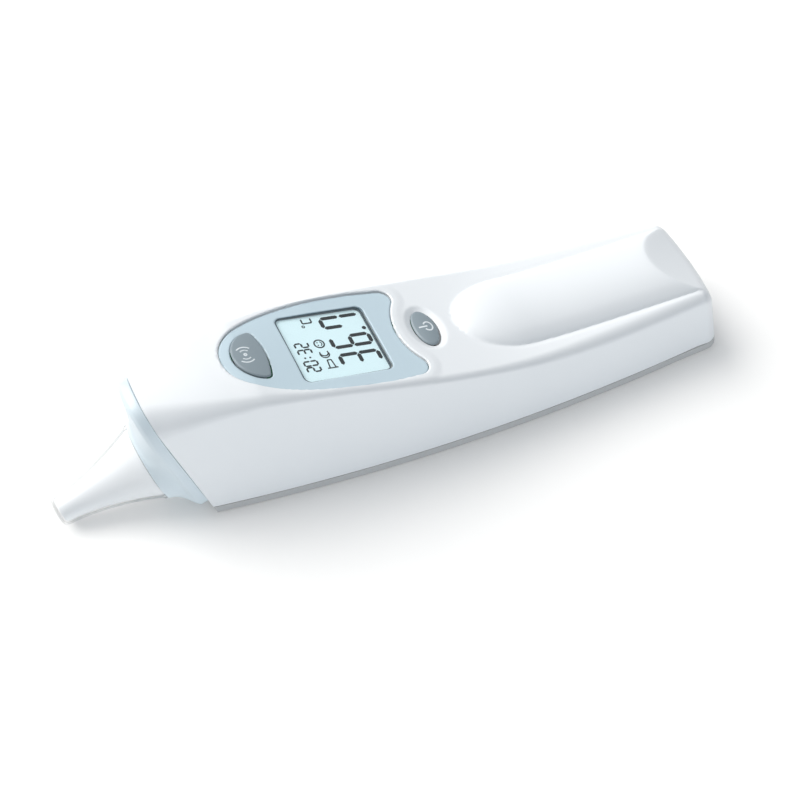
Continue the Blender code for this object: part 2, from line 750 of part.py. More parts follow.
def make_collar():
    """Ejector ring round the foot of the probe, pushed forward to shed the cover."""
    outer = [collar_ring(0.0003, 0, 0.01, 0.0006), collar_ring(0, 0, 0.01, 0.0010),
             collar_ring(0.0001, 0, 0.01, 0.0026), collar_ring(0.0007, 0.05, 0.01, 0.0031),
             collar_ring(0.0012, 0.55, 0.0102, 0.0045), collar_ring(0.0012, 0.85, 0.0099, 0.0058),
             collar_ring(0.0012, 1, 0.0097, 0.0070)]
    inner = [collar_ring(0.0012, 1, 0.0088, 0.0070), collar_ring(0.0020, 0.85, 0.0090, 0.0050),
             collar_ring(0.0018, 0.5, 0.0092, 0.0036), collar_ring(0.0011, 0, 0.01, 0.0020),
             collar_ring(0.0010, 0, 0.01, 0.0006)]
    data = ring_mesh("ejector_collar", outer + inner, loop=True)
    add_object("ejector_collar", data, "collar_plastic", PROBE_FRAME)


# ---------------------------------------------------------------- power supply

def make_cells():
    half = CELL_LENGTH / 2
    profile = ((0, half), (0.0019, half), (0.0019, half - 0.0010), (0.0045, half - 0.0010),
               (CELL_RADIUS, half - 0.0016), (CELL_RADIUS, -half + 0.0004),
               (CELL_RADIUS - 0.0004, -half), (0, -half))
    middle = CELL_X + half
    for number, side in ((1, 1), (2, -1)):
        turned(f"battery_{number}", profile, "cell_wrap", None,
               (middle, side * CELL_Y, CELL_Z), turn=(0, side * math.pi / 2, 0))


def make_contacts():
    """Plate and coil at the bay's front end, one bridge plate at its rear end."""
    front_x = BAY_START_X + GAP
    box("contact_plate", (0.0004, 0.0080, 0.0090), (front_x + 0.0002, -CELL_Y, CELL_Z), "steel")
    rear_x = BAY_END_X - GAP - 0.0004
    box("contact_bridge", (0.0004, 0.0195, 0.0090), (rear_x + 0.0002, 0, CELL_Z), "steel")
    data = bpy.data.curves.new("contact_spring", 'CURVE')
    data.dimensions = '3D'
    data.bevel_depth = 0.0003
    data.bevel_resolution = 1
    data.use_fill_caps = True
    turns, per_turn = 3, 12
    count = turns * per_turn + 1
    spline = data.splines.new('POLY')
    spline.points.add(count - 1)
    low, high = front_x + 0.0004, CELL_X - GAP - 0.0003
    for i in range(count):
        part = i / (count - 1)
        angle = 2 * math.pi * i / per_turn
        radius = 0.0040 - 0.0016 * part
        spline.points[i].co = (low + (high - low) * part, CELL_Y + radius * math.cos(angle),
                               CELL_Z + radius * math.sin(angle), 1)
    add_object("contact_spring", data, "steel")


def surface_frame(name, x):
    """An empty on the top surface, its Z square to the slope there."""
    step = 0.001
    slope = (top_line(x + step) - top_line(x - step)) / (2 * step)
    return empty(name, (x, 0, top_line(x)), (0, -math.atan(slope), 0))


clear_scene()
PARTS = collection(ASSEMBLY)
CUTTERS = collection("cutters")

DISPLAY_FRAME = surface_frame("display_frame", DISPLAY_X)
START_FRAME = surface_frame("start_axis", START_X)
POWER_FRAME = surface_frame("power_axis", POWER_X)
rim_middle = Vector((RIM_FOOT_X - math.sin(RIM_ANGLE) * RIM_LENGTH / 2, 0,
                     math.cos(RIM_ANGLE) * RIM_LENGTH / 2))
down_rim = Vector((math.sin(RIM_ANGLE), 0, -math.cos(RIM_ANGLE)))
PROBE_FRAME = empty("probe_axis", rim_middle + down_rim * PROBE_DROP,
                    (0, -math.pi / 2 - RIM_ANGLE, 0))
RIM = rim_cutter()

make_upper_housing()
make_lower_housing()
make_battery_door()
make_screws()
make_display_panel()
make_display()
make_board()
make_button("start", start_outline(), START_FRAME)
make_button("power", oval(POWER_HALF_X, POWER_HALF_Y), POWER_FRAME)
make_probe_carrier()
make_probe_nose()
make_probe_cover()
make_sensor()
make_sensor_lead()
make_collar()
make_cells()
make_contacts()
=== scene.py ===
"""Looks of the digital ear thermometer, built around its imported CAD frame.

Metres, +Z up, in the CAD's own frame: +X from probe to tail, z = 0 the surface it lies on.
"""
import json
import math

import bmesh
import bpy
import numpy as np
from mathutils import Matrix, Vector


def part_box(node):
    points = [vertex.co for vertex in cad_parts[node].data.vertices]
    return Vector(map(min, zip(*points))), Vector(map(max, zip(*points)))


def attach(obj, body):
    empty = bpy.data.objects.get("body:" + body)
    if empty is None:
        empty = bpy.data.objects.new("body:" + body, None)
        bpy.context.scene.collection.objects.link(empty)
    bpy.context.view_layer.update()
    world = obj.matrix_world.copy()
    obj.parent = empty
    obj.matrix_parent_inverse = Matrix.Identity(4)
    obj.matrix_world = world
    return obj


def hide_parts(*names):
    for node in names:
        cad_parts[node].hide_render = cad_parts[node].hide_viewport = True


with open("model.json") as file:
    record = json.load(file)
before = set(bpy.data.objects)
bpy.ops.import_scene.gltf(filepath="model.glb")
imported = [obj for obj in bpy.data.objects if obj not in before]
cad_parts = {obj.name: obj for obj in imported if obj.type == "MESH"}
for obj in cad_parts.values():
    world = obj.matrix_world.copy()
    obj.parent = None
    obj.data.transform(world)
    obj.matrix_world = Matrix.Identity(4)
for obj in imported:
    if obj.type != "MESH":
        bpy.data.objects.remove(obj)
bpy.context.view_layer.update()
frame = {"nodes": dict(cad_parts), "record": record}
NODES = frame["nodes"]

# ---------------------------------------------------------------- dimensions

GAP = 0.0003
FIT = 0.00012

# Body: the same curves as the CAD shell, with the details that a mould adds.
TAIL_X = 0.0777
TAIL_LEAN = 0.0028
HALF_WIDTH = 0.0160
WIDEST_X = 0.0200
FRONT_TAPER = 1.07
REAR_TAPER = 1.00
DRAFT = 0.00035
TAIL_ARC = 0.055
TAIL_CORNER = 0.0035
HEAD_END_X = -0.0615
WALL = 0.0015
SEAM_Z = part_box("upper_housing")[0].z

SLOPE = 0.255
SLOPE_END_X = 0.0306
HANDLE_Z = 0.0193
SLOPE_BLEND = 0.0033
DOME_X = -0.0335
DOME_BEND = 0.80
DOME_POWER = 1.3
EDGE_RADIUS = 0.0015
HEAD_RADIUS = 0.0052
TAIL_SOFT = 0.0013
TAIL_SOFT_X = (0.012, 0.055)
HEAD_ROUND_X = -0.0215
HEAD_ROUND_LENGTH = 0.034
HEAD_ROUND_POWER = 1.6
FLAT_CROWN = 0.0003
HEAD_CROWN = 0.0016
CROWN_START_X = -0.0150
CROWN_GROWTH = 0.055

# Raised grip with a shallow valley round its foot, cut off by one scooped facet.
GRIP_START_X = 0.0165
GRIP_FULL_X = 0.0310
GRIP_HALF_WIDTH = 0.0104
GRIP_HEIGHT = 0.0035
GRIP_POWER = 0.7
VALLEY_DEPTH = 0.00018
VALLEY_WALL = 0.0014
VALLEY_STARTS = 0.002
VALLEY_FULL = 0.020
VALLEY_INNER = 0.70
FACET_X = 0.0676
FACET_Z = 0.0226
FACET_SLOPE = 0.50
FACET_SCOOP = 0.0006
FACET_BLEND = 0.00025
FACET_FROM_X = 0.030

# Rim of the head and the probe.
RIM_FOOT_X = -0.0460
RIM_ANGLE = math.radians(19.1)
RIM_LENGTH = 0.0385
PROBE_DROP = 0.00485

# Display panel, its lip and its keys.
DISPLAY_X = -0.0127
DISPLAY_LENGTH = 0.0208
DISPLAY_WIDTH = 0.0197
DISPLAY_CORNER = 0.0016
PANEL_RECESS = 0.0004
PANEL_THICK = 0.0012
PANEL_CENTRE_X = -0.0040
PANEL_REACH = 0.0344
PANEL_HALF_WIDTH = 0.01335
PANEL_POWER = 2.3
LOBE_X = 0.0050
LOBE_HALF_WIDTH = 0.0129
LOBE_RADIUS = 0.0026
NOTCH_X = 0.0019
NOTCH_RADIUS = 0.0161
LIP_RISE = 0.00022
LIP_FLAT = 0.0010
LIP_WIDTH = 0.0031
LIP_REACH_X = (-0.048, 0.018)
LIP_FADE_X = (-0.0430, -0.0300)
LIP_PAST_DISH = 0.0026
LIP_IN_DISH = 0.0004
PANEL_EDGE = 0.00025
POWER_EDGE = 0.0002
START_X = -0.0319
START_BACK = 0.0016
START_HALF_WIDTH = 0.0065
START_FRONT = 0.0056
START_REAR = 0.0017
START_CORNER = 0.0009
START_BOW_POWER = 0.6
POWER_X = 0.0093
POWER_HALF_X = 0.00265
POWER_HALF_Y = 0.0051
DISH_DEPTH = 0.0006
DISH_WIDTH = 0.0016
WINDOW_DEPTH = 0.0008


# ---------------------------------------------------------------- small maths

def smoothstep(low, high, value):
    part = np.clip((value - low) / (high - low), 0.0, 1.0)
    return part * part * (3 - 2 * part)


def roll(distance, radius):
    """Drop of a rounded edge of this radius, at a distance in from the edge."""
    left = np.clip(radius - distance, 0.0, radius)
    return radius - np.sqrt(radius * radius - left * left)


def outline_distance(outline, x, y):
    """Signed distance from points to a closed outline, negative inside."""
    x, y = np.asarray(x, float), np.asarray(y, float)
    px, py = x.ravel(), y.ravel()
    best = np.full(px.shape, 1e9)
    inside = np.zeros(px.shape, bool)
    count = len(outline)
    for i in range(count):
        ax, ay = outline[i]
        bx, by = outline[(i + 1) % count]
        ex, ey = bx - ax, by - ay
        part = np.clip(((px - ax) * ex + (py - ay) * ey) / (ex * ex + ey * ey), 0.0, 1.0)
        best = np.minimum(best, np.hypot(px - ax - part * ex, py - ay - part * ey))
        crosses = (ay > py) != (by > py)
        if ay != by:
            inside ^= crosses & (px < (by - ay) ** -1 * ex * (py - ay) + ax)
    return np.where(inside, -best, best).reshape(x.shape)


def shift_outline(outline, distance):
    """A counter-clockwise outline moved outward, inward if negative."""
    moved = []
    count = len(outline)
    for i in range(count):
        along = (Vector(outline[(i + 1) % count]) - Vector(outline[i - 1])).normalized()
        moved.append((outline[i][0] + along.y * distance, outline[i][1] - along.x * distance))
    return moved


# ---------------------------------------------------------------- outlines

def panel_outline(front_steps=40, lobe_steps=12, notch_steps=10):
    left = []
    for i in range(front_steps + 1):
        angle = math.pi / 2 * (1 - i / front_steps)
        left.append((PANEL_CENTRE_X - PANEL_REACH * math.sin(angle) ** (2 / PANEL_POWER),
                     PANEL_HALF_WIDTH * max(0.0, math.cos(angle)) ** (2 / PANEL_POWER)))
    left[0] = (left[0][0], 0.0)
    lobe_x = LOBE_X - LOBE_RADIUS
    lobe_y = LOBE_HALF_WIDTH - LOBE_RADIUS
    centre_x = NOTCH_X + NOTCH_RADIUS
    join = -math.atan2(lobe_y, centre_x - lobe_x)
    for i in range(lobe_steps + 1):
        angle = math.pi / 2 + (join - math.pi / 2) * i / lobe_steps
        left.append((lobe_x + LOBE_RADIUS * math.cos(angle),
                     lobe_y + LOBE_RADIUS * math.sin(angle)))
    for i in range(1, notch_steps + 1):
        angle = join * (1 - i / notch_steps)
        left.append((centre_x - NOTCH_RADIUS * math.cos(angle),
                     -NOTCH_RADIUS * math.sin(angle)))
    right = [(x, -y) for x, y in reversed(left[1:-1])]
    return list(reversed(left + right))


def rounded_rectangle(length, width, radius, steps=8):
    points = []
    for quarter, (sx, sy) in enumerate(((1, 1), (-1, 1), (-1, -1), (1, -1))):
        for i in range(steps + 1):
            angle = math.radians(90 * (quarter + i / steps))
            points.append((sx * (length / 2 - radius) + radius * math.cos(angle),
                           sy * (width / 2 - radius) + radius * math.sin(angle)))
    return points


def oval(half_x, half_y, steps=72):
    turns = [2 * math.pi * i / steps for i in range(steps)]
    return [(half_x * math.cos(turn), half_y * math.sin(turn)) for turn in turns]


def start_outline(inset=0.0, steps=40):
    """The start key's D shape about its own centre; an inset leaves room to round corners."""
    half = START_HALF_WIDTH - inset
    front, rear = [], []
    for i in range(steps + 1):
        y = half * math.cos(math.pi * i / steps)
        bow = max(0.0, 1 - (y / half) ** 2) ** START_BOW_POWER
        front.append((START_BACK - (START_FRONT - inset) * bow, y))
    for i in range(1, steps // 2):
        y = half * (-1 + 4 * i / steps)
        rear.append((START_BACK + (START_REAR - inset) * (1 - (y / half) ** 2), y))
    return front + rear


def start_distance(x, y):
    """Signed distance to the start key's outline, its corners rounded."""
    return outline_distance(START_CORE, x, y) - START_CORNER


PANEL = panel_outline()
PANEL_OPENING = shift_outline(PANEL, GAP)
START_CORE = start_outline(START_CORNER)
POWER_OPENING = [(x + POWER_X, y) for x, y in shift_outline(oval(POWER_HALF_X, POWER_HALF_Y), GAP)]


# ---------------------------------------------------------------- body surface

def half_width(x):
    taper = np.where(x < WIDEST_X, FRONT_TAPER, REAR_TAPER)
    return HALF_WIDTH - taper * (np.maximum(x, HEAD_END_X) - WIDEST_X) ** 2


def top_line(x):
    fall = SLOPE * (SLOPE_END_X - x)
    height = HANDLE_Z + 0.5 * (fall + np.hypot(fall, SLOPE_BLEND))
    return height - DOME_BEND * np.maximum(DOME_X - x, 0.0) ** DOME_POWER


def crown(x):
    rise = CROWN_GROWTH * (CROWN_START_X - x)
    return FLAT_CROWN + np.clip(rise, 0.0, HEAD_CROWN - FLAT_CROWN)


def tail_softening(x):
    """What the long edge's radius gains towards the tail."""
    return TAIL_SOFT * smoothstep(*TAIL_SOFT_X, x)


def edge_radius(x):
    ahead = np.clip((HEAD_ROUND_X - x) / HEAD_ROUND_LENGTH, 0.0, 1.0)
    return EDGE_RADIUS + (HEAD_RADIUS - EDGE_RADIUS) * ahead ** HEAD_ROUND_POWER + tail_softening(x)


def grip(x, y):
    """The grip's pillow and the valley round its foot."""
    ahead = np.clip((GRIP_FULL_X - x) / (GRIP_FULL_X - GRIP_START_X), 0.0, 2.0)
    reach = np.sqrt(ahead ** 2 + (y / GRIP_HALF_WIDTH) ** 2)
    pillow = np.clip(1 - reach ** 2, 0.0, 1.0) ** GRIP_POWER
    depth = VALLEY_DEPTH * smoothstep(GRIP_START_X + VALLEY_STARTS, GRIP_START_X + VALLEY_FULL, x)
    inner = smoothstep(VALLEY_INNER, 1.0, reach)
    outer = 1 - smoothstep(0.0, VALLEY_WALL, (reach - 1) * GRIP_HALF_WIDTH)
    return GRIP_HEIGHT * pillow - depth * np.where(reach < 1, inner, outer)


def facet(x, y):
    """Scooped slope that ends the grip and the handle's top towards the tail."""
    scoop = FACET_SCOOP * (1 - np.clip(np.abs(y) / GRIP_HALF_WIDTH, 0.0, 1.0) ** 2)
    return FACET_Z - FACET_SLOPE * (x - FACET_X) - scoop


def soft_min(first, second, blend):
    """The lower of two heights, with the crease between them rounded."""
    return 0.5 * (first + second - np.hypot(first - second, blend))


def plain_top(x, y):
    return top_line(x) - crown(x) * (y / half_width(x)) ** 2


def lip(x, y):
    """Soft bead round the panel opening, and the dish round the power key."""
    near = (x > LIP_REACH_X[0]) & (x < LIP_REACH_X[1])
    if not np.any(near):
        return np.zeros(np.shape(x))
    rise = np.zeros(np.shape(x))
    from_panel = np.maximum(outline_distance(PANEL_OPENING, x[near], y[near]), 0.0)
    from_power = np.maximum(outline_distance(POWER_OPENING, x[near], y[near]), 0.0)
    bead = LIP_RISE * (1 - smoothstep(LIP_FLAT, LIP_WIDTH, from_panel))
    fade = smoothstep(0.0, LIP_PAST_DISH, from_power + LIP_IN_DISH)
    bead *= fade * smoothstep(*LIP_FADE_X, x[near])
    dish = DISH_DEPTH * (1 - smoothstep(0.0, DISH_WIDTH, from_power))
    rise[near] = bead - roll(from_panel, PANEL_EDGE) - dish - 0.5 * roll(from_power, POWER_EDGE)
    return rise


def top_height(x, y):
    whole = plain_top(x, y) + grip(x, y) + lip(x, y)
    return np.where(x > FACET_FROM_X, soft_min(whole, facet(x, y), FACET_BLEND), whole)


def surface_height(x, y):
    """Height of the finished top, long rounded edges included."""
    inset = half_width(x) - np.abs(y)
    return top_height(x, y) - roll(inset, edge_radius(x))


# ---------------------------------------------------------------- mesh helpers

SHARP_ANGLE = math.radians(38)
LOFT_MERGE = 2e-6
# Snapping a grid to an outline: reach, probing step and merging as shares of its spacing.
SNAP_REACH = 0.3
SNAP_STEP = 0.05
SNAP_MERGE = 0.04
SNAP_ROUNDS = 3
# Least squared slope that a field is taken to have while a grid is snapped to it.
LEAST_SLOPE = 0.25


def put(name, data, slot, body, material, *stands_for):
    """Link a finished mesh, let it ride on a body and stand for its CAD nodes."""
    item = bpy.data.objects.new(name, data)
    bpy.context.scene.collection.objects.link(item)
    data.materials.clear()
    data.materials.append(material)
    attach(item, body)
    if stands_for:
        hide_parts(*stands_for)
    return item


def finish_mesh(name, vertices, faces, merge, matrix=None):
    data = bpy.data.meshes.new(name)
    data.from_pydata([tuple(v) for v in vertices], [], faces)
    bm = bmesh.new()
    bm.from_mesh(data)
    bmesh.ops.remove_doubles(bm, verts=bm.verts, dist=merge)
    bmesh.ops.dissolve_degenerate(bm, edges=bm.edges, dist=merge)
    bmesh.ops.recalc_face_normals(bm, faces=bm.faces)
    if matrix:
        bm.transform(matrix)
    bm.to_mesh(data)
    bm.free()
    data.shade_smooth()
    data.set_sharp_from_angle(angle=SHARP_ANGLE)
    return data


def thicken(data, thickness):
    """A sheet given a thickness below its surface."""
    item = bpy.data.objects.new("baking", data)
    bpy.context.scene.collection.objects.link(item)
    step = item.modifiers.new("SOLIDIFY", "SOLIDIFY")
    step.thickness = thickness
    step.offset = -1.0
    bpy.context.view_layer.update()
    graph = bpy.context.evaluated_depsgraph_get()
    made = bpy.data.meshes.new_from_object(item.evaluated_get(graph))
    bpy.data.objects.remove(item)
    made.shade_smooth()
    made.set_sharp_from_angle(angle=SHARP_ANGLE)
    return made


def grid_faces(rows, columns, closed=False):
    faces = []
    for r in range(rows - 1):
        for c in range(columns if closed else columns - 1):
            n = (c + 1) % columns
            faces.append((r * columns + c, r * columns + n,
                          (r + 1) * columns + n, (r + 1) * columns + c))
    return faces


def snap_to_field(x, y, field, spacing):
    """Keep the side of a grid where the field is negative, with its border on the field's zero.

    Returns the moved grid and the mask of faces that stay."""
    value = field(x, y)
    inside = value < 0
    cell = inside[:-1, :-1] | inside[1:, :-1] | inside[:-1, 1:] | inside[1:, 1:]
    wanted = np.zeros(value.shape, bool)
    for dr in (0, 1):
        for dc in (0, 1):
            wanted[dr:dr + cell.shape[0], dc:dc + cell.shape[1]] |= cell
    move = wanted & (value > -SNAP_REACH * spacing)
    step = spacing * SNAP_STEP
    for _ in range(SNAP_ROUNDS):
        px, py = x[move], y[move]
        here = field(px, py)
        gx = (field(px + step, py) - field(px - step, py)) / (2 * step)
        gy = (field(px, py + step) - field(px, py - step)) / (2 * step)
        length = np.maximum(gx * gx + gy * gy, LEAST_SLOPE)
        x[move] = px - here * gx / length
        y[move] = py - here * gy / length
    edge = move[:-1, :-1] & move[1:, :-1] & move[:-1, 1:] & move[1:, 1:]
    return x, y, cell & ~edge


def field_plate(name, x_range, y_range, spacing, field, height, thickness, matrix=None):
    """A plate cut from a fine grid by a field, with a height for its top and a thickness."""
    xs = np.arange(x_range[0], x_range[1] + spacing, spacing)
    ys = np.arange(y_range[0], y_range[1] + spacing, spacing)
    x, y = np.meshgrid(xs, ys, indexing="ij")
    x, y, keep = snap_to_field(x, y, field, spacing)
    z = height(x, y)
    points = np.stack((x, y, z), -1).reshape(-1, 3)
    faces = [f for f, k in zip(grid_faces(*x.shape), keep.ravel()) if k]
    data = finish_mesh(name, points, faces, spacing * SNAP_MERGE)
    drop_loose(data)
    face_up(data)
    made = thicken(data, thickness)
    if matrix:
        made.transform(matrix)
    return made


def drop_loose(data):
    bm = bmesh.new()
    bm.from_mesh(data)
    bmesh.ops.delete(bm, geom=[v for v in bm.verts if not v.link_faces], context="VERTS")
    bm.to_mesh(data)
    bm.free()


def face_up(data):
    """Turn an open sheet over if most of it faces down."""
    if sum(polygon.normal.z * polygon.area for polygon in data.polygons) < 0:
        data.flip_normals()


def loft(name, rings, closed=False, matrix=None):
    """A skin through rings of equal point count."""
    count = len(rings[0])
    points = [point for ring in rings for point in ring]
    faces = grid_faces(len(rings), count, closed=True)
    if closed:
        last = (len(rings) - 1) * count
        faces += [(last + i, last + (i + 1) % count, (i + 1) % count, i) for i in range(count)]
    return finish_mesh(name, points, faces, LOFT_MERGE, matrix)


def revolve(name, profile, steps=96, closed=False, matrix=None):
    """A turned piece from (radius, height) points."""
    turns = [2 * math.pi * i / steps for i in range(steps)]
    rings = [[(radius * math.cos(t), radius * math.sin(t), height) for t in turns]
             for radius, height in profile]
    return loft(name, rings, closed, matrix)


def tilt_frame(x):
    """Frame on the plain top surface at x, Z square to the slope."""
    step = 0.001
    slope = (top_line(x + step) - top_line(x - step)) / (2 * step)
    return Matrix.Translation((x, 0, float(top_line(x)))) @ Matrix.Rotation(-math.atan(slope), 4, "Y")


def probe_frame():
    """Frame on the rim plane, on the probe's axis, Z out along the probe and X up the rim."""
    middle = Vector((RIM_FOOT_X - math.sin(RIM_ANGLE) * RIM_LENGTH / 2, 0,
                     math.cos(RIM_ANGLE) * RIM_LENGTH / 2))
    down = Vector((math.sin(RIM_ANGLE), 0, -math.cos(RIM_ANGLE)))
    return (Matrix.Translation(middle + down * PROBE_DROP)
            @ Matrix.Rotation(-math.pi / 2 - RIM_ANGLE, 4, "Y"))


DISPLAY_FRAME = tilt_frame(DISPLAY_X)
START_FRAME = tilt_frame(START_X)
POWER_FRAME = tilt_frame(POWER_X)
PROBE_FRAME = probe_frame()


# ---------------------------------------------------------------- materials

# Scales of the procedural noise: tone and gloss of plastic, gloss and grain of the rest.
TONE_SCALE = 45
GLOSS_SCALE = 260
CLEAR_GLOSS_SCALE = 300
METAL_GLOSS_SCALE = 700
METAL_GRAIN_SCALE = 1500
METAL_GRAIN_DEPTH = 0.000004
CLEAR_IOR = 1.49
# How far a surface is turned away where a film starts and ends to look more solid; on the dark cover
# film this draws a painted outline.
FILM_EDGE = (0.72, 0.95)


class Nodes:
    """A new node material with a Principled shader and a few procedural helpers."""

    def __init__(self, name, colour, roughness, metallic=0.0, **sockets):
        self.material = bpy.data.materials.new(name)
        self.material.use_nodes = True
        self.tree = self.material.node_tree
        self.shader = self.tree.nodes["Principled BSDF"]
        self.set("Base Color", (*colour, 1))
        self.set("Roughness", roughness)
        self.set("Metallic", metallic)
        for key, value in sockets.items():
            self.set(key.replace("_", " "), value)
        self.where = self.tree.nodes.new("ShaderNodeTexCoord").outputs["Object"]

    def set(self, socket, value):
        self.shader.inputs[socket].default_value = value

    def node(self, kind, **settings):
        made = self.tree.nodes.new(kind)
        for key, value in settings.items():
            setattr(made, key, value)
        return made

    def link(self, out, into):
        self.tree.links.new(out, into)

    def noise(self, scale, detail=3.0):
        texture = self.node("ShaderNodeTexNoise")
        texture.inputs["Scale"].default_value = scale
        texture.inputs["Detail"].default_value = detail
        self.link(self.where, texture.inputs["Vector"])
        return texture.outputs["Fac"]

    def ramp(self, value, low, high, start=0.0, end=1.0):
        """Map a value between start and end to a range of numbers."""
        step = self.node("ShaderNodeMapRange")
        step.inputs["From Min"].default_value = start
        step.inputs["From Max"].default_value = end
        step.inputs["To Min"].default_value = low
        step.inputs["To Max"].default_value = high
        self.link(value, step.inputs["Value"])
        return step.outputs["Result"]

    def blend(self, value, first, second):
        """Mix two colours by a 0..1 value."""
        step = self.node("ShaderNodeMix", data_type="RGBA")
        step.inputs["A"].default_value = (*first, 1)
        step.inputs["B"].default_value = (*second, 1)
        self.link(value, step.inputs["Factor"])
        return step.outputs["Result"]

    def vary_colour(self, first, second, scale):
        self.link(self.blend(self.noise(scale), first, second), self.shader.inputs["Base Color"])

    def vary_roughness(self, low, high, scale):
        self.link(self.ramp(self.noise(scale), low, high), self.shader.inputs["Roughness"])

    def bump(self, scale, height, detail=2.0):
        step = self.node("ShaderNodeBump")
        step.inputs["Strength"].default_value = 1.0
        step.inputs["Distance"].default_value = height
        self.link(self.noise(scale, detail), step.inputs["Height"])
        self.link(step.outputs["Normal"], self.shader.inputs["Normal"])


def moulded(name, colour, roughness, grain=2600, depth=0.0000025, tint=0.03, **sockets):
    """Injection-moulded plastic: faint tone variation, fine spark grain, uneven gloss."""
    made = Nodes(name, colour, roughness, **sockets)
    darker = tuple(c * (1 - tint) for c in colour)
    made.vary_colour(colour, darker, TONE_SCALE)
    made.vary_roughness(roughness * 0.9, roughness * 1.12, GLOSS_SCALE)
    made.bump(grain, depth)
    return made.material


def clear(name, colour, alpha, roughness=0.05, edge=None, level=0.5):
    """Thin clear plastic; with edge, more solid where it is seen at a steep slant."""
    made = Nodes(name, colour, roughness, Alpha=alpha, IOR=CLEAR_IOR)
    made.set("Specular IOR Level", level)
    if edge:
        facing = made.node("ShaderNodeLayerWeight")
        facing.inputs["Blend"].default_value = 0.5
        solid = made.ramp(facing.outputs["Facing"], alpha, edge, *FILM_EDGE)
        made.link(solid, made.shader.inputs["Alpha"])
    made.vary_roughness(roughness, roughness * 2.2, CLEAR_GLOSS_SCALE)
    return made.material


def metal(name, colour, roughness):
    made = Nodes(name, colour, roughness, metallic=1.0)
    made.vary_roughness(roughness * 0.75, roughness * 1.35, METAL_GLOSS_SCALE)
    made.bump(METAL_GRAIN_SCALE, METAL_GRAIN_DEPTH)
    return made.material


WHITE = moulded("shell_white", (0.81, 0.825, 0.84), 0.38, Coat_Weight=0.1, Coat_Roughness=0.25)
GREY = moulded("shell_grey", (0.50, 0.50, 0.50), 0.46, tint=0.05)
BLUE = moulded("panel_blue", (0.535, 0.645, 0.705), 0.38, tint=0.025)
KEY = moulded("key_grey", (0.265, 0.315, 0.345), 0.38, grain=3800, depth=0.000004, tint=0.06)
MARK = moulded("mark_white", (0.76, 0.80, 0.82), 0.45)
COLLAR = moulded("collar_blue", (0.65, 0.73, 0.775), 0.34, tint=0.03, Coat_Weight=0.1)
NOSE = moulded("nose_white", (0.88, 0.89, 0.90), 0.30)
LENS = clear("lens_clear", (0.93, 0.97, 0.98), 0.02)
# Clear cover film in a dark colour that shows only where it is seen edge-on: a painted dark outline
# in place of the shade refraction gives.
FILM = clear("cover_film", (0.15, 0.19, 0.22), 0.02, edge=0.6, level=0.12)
INK = moulded("lcd_ink", (0.008, 0.011, 0.013), 0.35)
LCD = moulded("lcd_sheet", (0.72, 0.905, 0.94), 0.30, tint=0.03)
# Near-black liner down the display window's walls: painted shade of the recess.
SHADE_LINER = moulded("shade_liner_dark", (0.045, 0.065, 0.08), 0.5)


# ---------------------------------------------------------------- shell

# Rows of the skin's grid: up the side, round the long edge, across to the spine.
SIDE_ROWS = 14
ROUND_ROWS = 12
TOP_ROWS = 56
SETTLE_ROUNDS = 7
SETTLE_START_Z = 0.02

# Columns of the grid: close at the rim, fine along the openings, coarse behind them.
RIM_STEPS = (0.0001, 0.00025, 0.00045, 0.0008)
FINE_STEP = 0.00027
COARSE_STEP = 0.0006
FINE_UNTIL_X = 0.013
SIDE_END_X = TAIL_X - 0.0046
CORNER_STEPS = 14
TAIL_STEPS = 20
SPINE_END_X = TAIL_X - 0.014
SHEAR_END_X = -0.004
LEAN_X = (TAIL_X - 0.0060, TAIL_X - 0.0040)

OPENINGS_X = (-0.050, 0.020)
LEAST_MOVE = 1e-9
SHELL_MERGE = 0.00001


def column_plan():
    """Plan points and outward normals along half of the body, from the rim to the tail's middle."""
    xs = [RIM_FOOT_X]
    for near in RIM_STEPS:
        xs.append(RIM_FOOT_X + near)
    while xs[-1] < SIDE_END_X - COARSE_STEP:
        xs.append(xs[-1] + (FINE_STEP if xs[-1] < FINE_UNTIL_X else COARSE_STEP))
    points = [(x, float(half_width(x)) + DRAFT, 0.0, 1.0) for x in xs]
    width = float(half_width(SIDE_END_X)) + DRAFT
    corner_y = width - TAIL_CORNER
    arc_x = TAIL_X - TAIL_ARC
    corner_x = arc_x + math.sqrt((TAIL_ARC - TAIL_CORNER) ** 2 - corner_y ** 2)
    join = math.atan2(corner_y, corner_x - arc_x)
    for i in range(CORNER_STEPS + 1):
        angle = (math.pi / 2 - join) * i / CORNER_STEPS
        nx, ny = math.sin(angle), math.cos(angle)
        points.append((corner_x + TAIL_CORNER * nx, corner_y + TAIL_CORNER * ny, nx, ny))
    for i in range(1, TAIL_STEPS + 1):
        angle = join * (1 - i / TAIL_STEPS)
        nx, ny = math.cos(angle), math.sin(angle)
        points.append((arc_x + TAIL_ARC * nx, TAIL_ARC * ny, nx, ny))
    return np.array(points)


